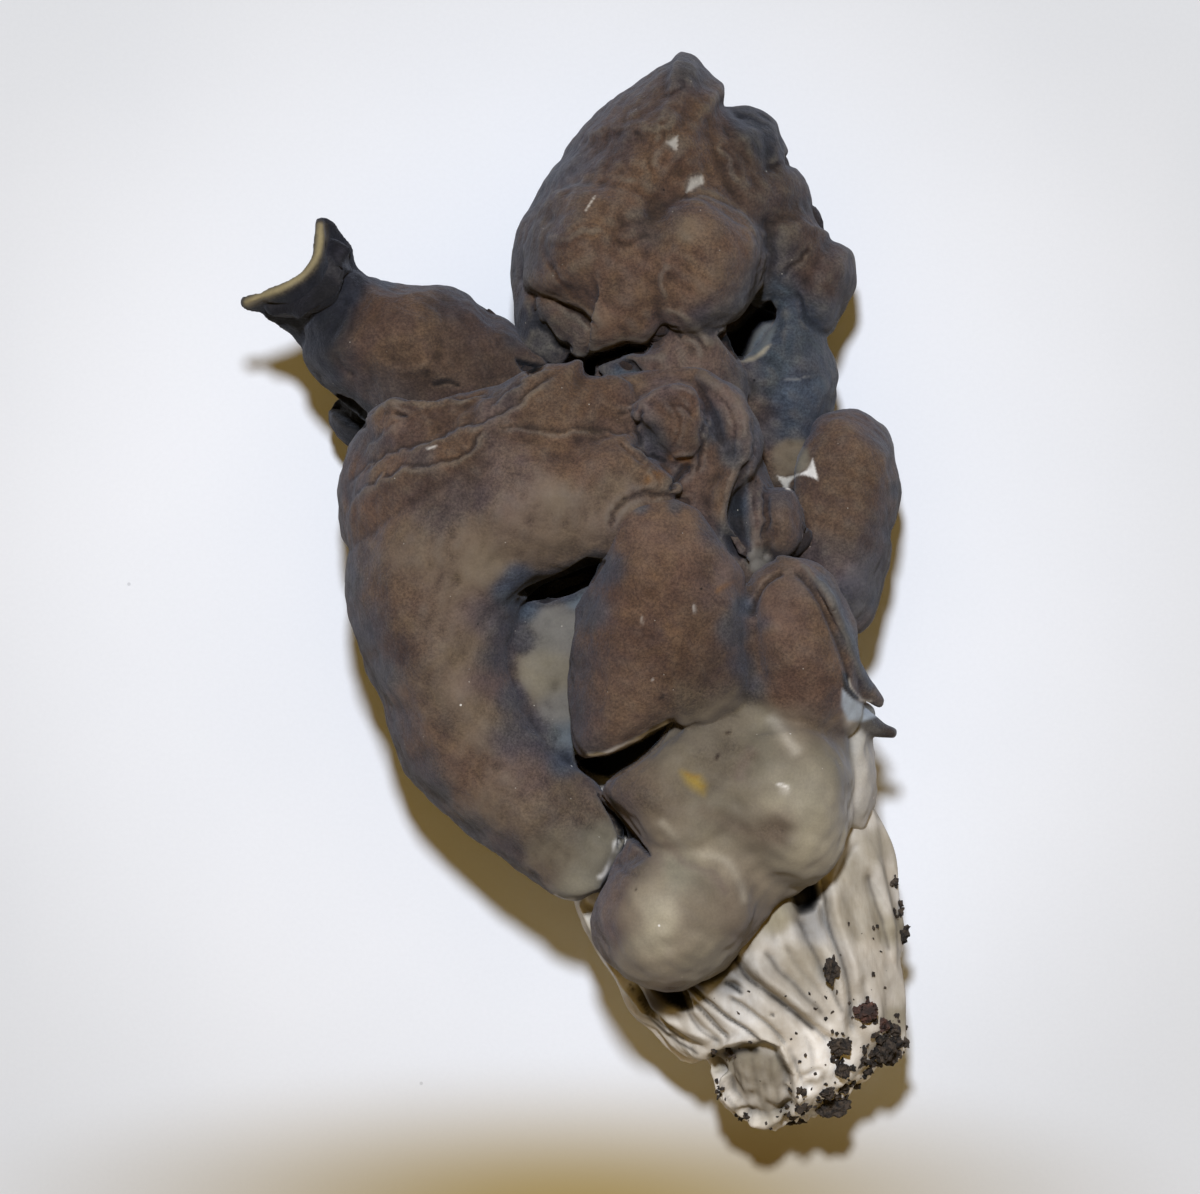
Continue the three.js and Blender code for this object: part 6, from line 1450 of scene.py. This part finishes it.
# Dirt: each bit fills the box that the frame gives it.
dirtShape = {
    "seed": 200, "subdivisions": 5, "fill": 1.15,
    "swells": [(1.3, 0, 0.16), (0.45, 1, 0.07)], "dents": [(0.7, 2, 0.16)],
    "onTop": 15 * millimetre, "lift": 0.25,  # a bit above this height stands on the stem, this much of its height
    "press": 0.2,  # any other bit stands this much of its least side clear of the nearest skin
    "barkGrain": [1, 0.25, 1], "barkHalf": 0.5,
}


def makeBit(node, seed, tree):
    shape = dirtShape
    low, high = (np.array(corner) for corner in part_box(node))
    middle = Vector((low + high) / 2)
    hit = tree.ray_cast(Vector((middle.x, middle.y, aboveAll)), Vector((0, 0, -1)))[0]
    if low[2] > shape["onTop"] and hit is not None:
        move = np.array([0, 0, hit.z + shape["lift"] * (high[2] - low[2]) - middle.z])
    else:
        near, out = tree.find_nearest(middle)[:2]
        move = np.array(near + out * shape["press"] * (high - low).min() - middle)
    low, high = low + move, high + move
    bark = node.startswith("bark")
    bm = bmesh.new()
    bmesh.ops.create_icosphere(bm, subdivisions=shape["subdivisions"], radius=1)
    piece = finishMesh(bm, node + "Fine", smooth=not bark)
    places = coordinates(piece)
    rough = swell(places * shape["barkGrain"] if bark else places, seed, shape["swells"])
    for length, step, depth in shape["dents"]:
        rough -= np.abs(waves(places, length, seed + step)) * depth
    places *= (1 + rough)[:, None]
    if bark:
        places[:, 2] = np.clip(places[:, 2], -shape["barkHalf"], shape["barkHalf"])
    least, most = places.min(0), places.max(0)
    places = (places - (most + least) / 2) / (most - least) * (high - low) * shape["fill"] + (low + high) / 2
    setCoordinates(piece, places)
    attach(piece, "root")
    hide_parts(node)
    return piece


# Grit stuck to the foot: how many grains lie round each place, how far they spread, and their size.
gritShape = {
    "seed": 5, "size": (0.08, 0.5), "least": 0.16, "fewer": 0.6, "gather": 0.7,
    "stretch": (0.5, 1.5), "rough": 0.3, "proud": 0.3, "spin": 6.28,
    "places": [
        (38.6, -34.2, 10, 0.5, 1.0), (39.2, -37.6, 14, 0.6, 1.4), (39.8, -40.8, 8, 0.5, 1.2),
        (30.6, -44.6, 8, 0.8, 0.8), (34.8, -50, 16, 1.2, 0.9), (37.4, -51.8, 26, 1.4, 1.0),
        (32, -53.6, 22, 1.3, 0.9), (38, -54.2, 50, 1.6, 1.4), (36, -55.4, 36, 1.6, 1.2),
        (31.6, -55.4, 12, 1.0, 0.8), (30.4, -60, 24, 1.4, 0.9), (31.4, -61.8, 36, 1.8, 1.3),
        (27, -63, 26, 1.8, 1.2), (18, -54.8, 16, 1.4, 0.8), (17.6, -59.4, 14, 0.9, 0.8),
        (20.5, -63, 12, 1.2, 0.8), (34.6, -58.8, 14, 1.2, 1.0), (26.6, -59.6, 12, 1.0, 0.7),
        (35.8, -47, 4, 0.9, 0.8), (33, -57, 10, 1.8, 0.6), (28, -57, 16, 4, 0.5), (36, -42, 16, 4, 0.5),
        (32, -50, 20, 3.5, 0.5), (22, -49, 8, 5, 0.45), (26, -62, 20, 4, 0.5),
    ],
}


def makeGrit(tree):
    shape = gritShape
    rng = np.random.default_rng(shape["seed"])
    joined = bmesh.new()
    for x, y, count, wide, size in shape["places"]:
        for _ in range(count):
            spot = (np.array([x, y]) + rng.normal(size=2) * wide * shape["gather"] + origin[:2]) * millimetre
            large = rng.uniform(*shape["size"]) ** 1.2 * size * millimetre
            if large < shape["least"] * millimetre and rng.uniform() < shape["fewer"]:
                continue
            hit, way = tree.ray_cast(Vector((spot[0], spot[1], aboveAll)), Vector((0, 0, -1)))[:2]
            turn = Matrix.Rotation(rng.uniform(0, shape["spin"]), 4, Vector(rng.normal(size=3)).normalized())
            flat = rng.uniform(*shape["stretch"], 3)
            if hit is None:
                continue
            grain = bmesh.ops.create_icosphere(joined, subdivisions=2, radius=large)["verts"]
            for v in grain:
                v.co *= 1 + shape["rough"] * rng.normal()
            bmesh.ops.scale(joined, vec=flat, verts=grain)
            place = Matrix.Translation(hit + way * large * shape["proud"]) @ turn
            bmesh.ops.transform(joined, matrix=place, verts=grain)
    piece = finishMesh(joined, "grit", smooth=False)
    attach(piece, "root")
    return piece


soilFinish = {"dark": (0.008, 0.0062, 0.005, 1), "pale": (0.085, 0.06, 0.04, 1), "roughness": 0.85}
barkFinish = {"dark": (0.02, 0.009, 0.006, 1), "pale": (0.12, 0.05, 0.032, 1), "roughness": 0.7}


def dirtMaterial(name, finish):
    m = Nodes(name)
    clump = m.mix(m.range(m.noise(0.9, 6, 0.75), 0.38, 0.66), finish["dark"], finish["pale"])
    clump = m.specks(clump, [(0.5, 0.14, 0.8, 0.6, tone("straw"))])
    return m.finish(Base_Color=clump, Roughness=finish["roughness"], Normal=m.bumps([(1.0, 0.12, (0.22, 5, 0.7))]))


stemTree = BVHTree.FromObject(stem, bpy.context.evaluated_depsgraph_get())
soil = dirtMaterial("soil", soilFinish)
bark = dirtMaterial("bark", barkFinish)
for number, node in enumerate(sorted(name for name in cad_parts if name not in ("cap", "stem"))):
    bit = makeBit(node, dirtShape["seed"] + 10 * number, stemTree)
    bit.data.materials.append(bark if node.startswith("bark") else soil)
makeGrit(stemTree).data.materials.append(soil)
print("dirt done")

# The sheet under it: cloudy white paper, with a warm shadow painted on the near side and painted shade that makes
# it a little darker far out.
paperFinish = {
    "cloud": ((0.86, 0.87, 0.885, 1), (0.89, 0.895, 0.905, 1)),
    "fibres": [(1.0, (0.5, 3, 0.6), 0.3, 0.7, (0.985, 0.985, 0.985), (1.0, 1.0, 1.0))],
    "dust": [(9, 0.03, 0.9, 0.35, (0.3, 0.3, 0.32, 1))],
    "nearSide": (0, 0.074, 0), "nearShape": (0.23, 1, 0), "nearRange": (0.0195, 0.0005, 0.0, 0.9),
    "nearShadowTint": (0.37, 0.25, 0.05, 1),
    "farRange": (0.045, 0.1), "farShadeTint": (0.82, 0.82, 0.81, 1),
}


def paperMaterial():
    m = Nodes("paper")
    sheet = m.mix(m.range(m.noise(60, 3), 0.3, 0.7), *paperFinish["cloud"])
    sheet = m.specks(m.mottles(sheet, paperFinish["fibres"]), paperFinish["dust"])
    # Painted warm shadow on the near side of the paper.
    near = m.add("Mapping", {"Vector": m.place, "Location": paperFinish["nearSide"],
                             "Scale": paperFinish["nearShape"]}).outputs["Vector"]
    away = m.add("VectorMath", {0: near}, operation="LENGTH").outputs["Value"]
    sheet = m.mix(m.range(away, *paperFinish["nearRange"]), sheet, paperFinish["nearShadowTint"])
    # Painted shade: the paper grows darker far out.
    far = m.add("VectorMath", {0: m.place}, operation="LENGTH").outputs["Value"]
    darker = m.mix(m.range(far, *paperFinish["farRange"]), (1, 1, 1, 1), paperFinish["farShadeTint"])
    sheet = m.mix(1.0, sheet, darker, "MULTIPLY")
    return m.finish(Base_Color=sheet, Roughness=0.95, Specular_IOR_Level=0.1,
                    Normal=m.bumps([(0.4, 0.01, (0.4, 3))]))


floorHalf = 2  # metres
floorMesh = bmesh.new()
bmesh.ops.create_grid(floorMesh, x_segments=1, y_segments=1, size=floorHalf)
floor = finishMesh(floorMesh, "floor", smooth=False)
floor.data.materials.append(paperMaterial())
print("paper done")

# The lens and the sensor are in millimetres, the rest in metres.
viewShape = {"height": 1.2, "lens": 300, "sensor": 36, "nearest": 0.01, "aim": (0.0034, 0.0006, 0.025)}


def makeCamera():
    data = bpy.data.cameras.new("camera")
    data.lens = viewShape["lens"]
    data.sensor_width = viewShape["sensor"]
    data.clip_start = viewShape["nearest"]
    camera = bpy.data.objects.new("camera", data)
    camera.location = Vector(viewShape["aim"]) + Vector((0, 0, viewShape["height"]))
    scene.collection.objects.link(camera)
    scene.camera = camera


makeCamera()

# One hard, high lamp, and a warm surround that is brighter overhead than at the sides.
lightShape = {
    "place": (-0.02, 0.32, 1.15), "size": 0.1, "power": 14.6, "colour": (0.80, 0.87, 1.0),
    "zenith": (0.255, 0.165, 0.04), "horizon": (0.125, 0.10, 0.06), "rise": (0.05, 0.8), "strength": 1.0,
}


def makeLights():
    shape = lightShape
    data = bpy.data.lights.new("key", "AREA")
    data.shape = "DISK"
    data.size = shape["size"]
    data.energy = shape["power"]
    data.color = shape["colour"]
    light = bpy.data.objects.new("key", data)
    light.location = shape["place"]
    light.rotation_euler = Vector(shape["place"]).to_track_quat("Z", "Y").to_euler()
    light.visible_camera = False
    scene.collection.objects.link(light)
    world = bpy.data.worlds.new("room")
    world.use_nodes = True
    nodes, links = world.node_tree.nodes, world.node_tree.links
    split = nodes.new("ShaderNodeSeparateXYZ")
    height = nodes.new("ShaderNodeMapRange")
    sky = nodes.new("ShaderNodeMix")
    sky.data_type = "RGBA"
    links.new(nodes.new("ShaderNodeTexCoord").outputs["Generated"], split.inputs[0])
    links.new(split.outputs["Z"], height.inputs["Value"])
    height.inputs["From Min"].default_value, height.inputs["From Max"].default_value = shape["rise"]
    links.new(height.outputs["Result"], sky.inputs[0])
    sky.inputs[6].default_value = (*shape["horizon"], 1)
    sky.inputs[7].default_value = (*shape["zenith"], 1)
    links.new(sky.outputs[2], nodes["Background"].inputs["Color"])
    nodes["Background"].inputs["Strength"].default_value = shape["strength"]
    scene.world = world


makeLights()
scene.view_settings.view_transform = "Standard"
print("camera and light done")
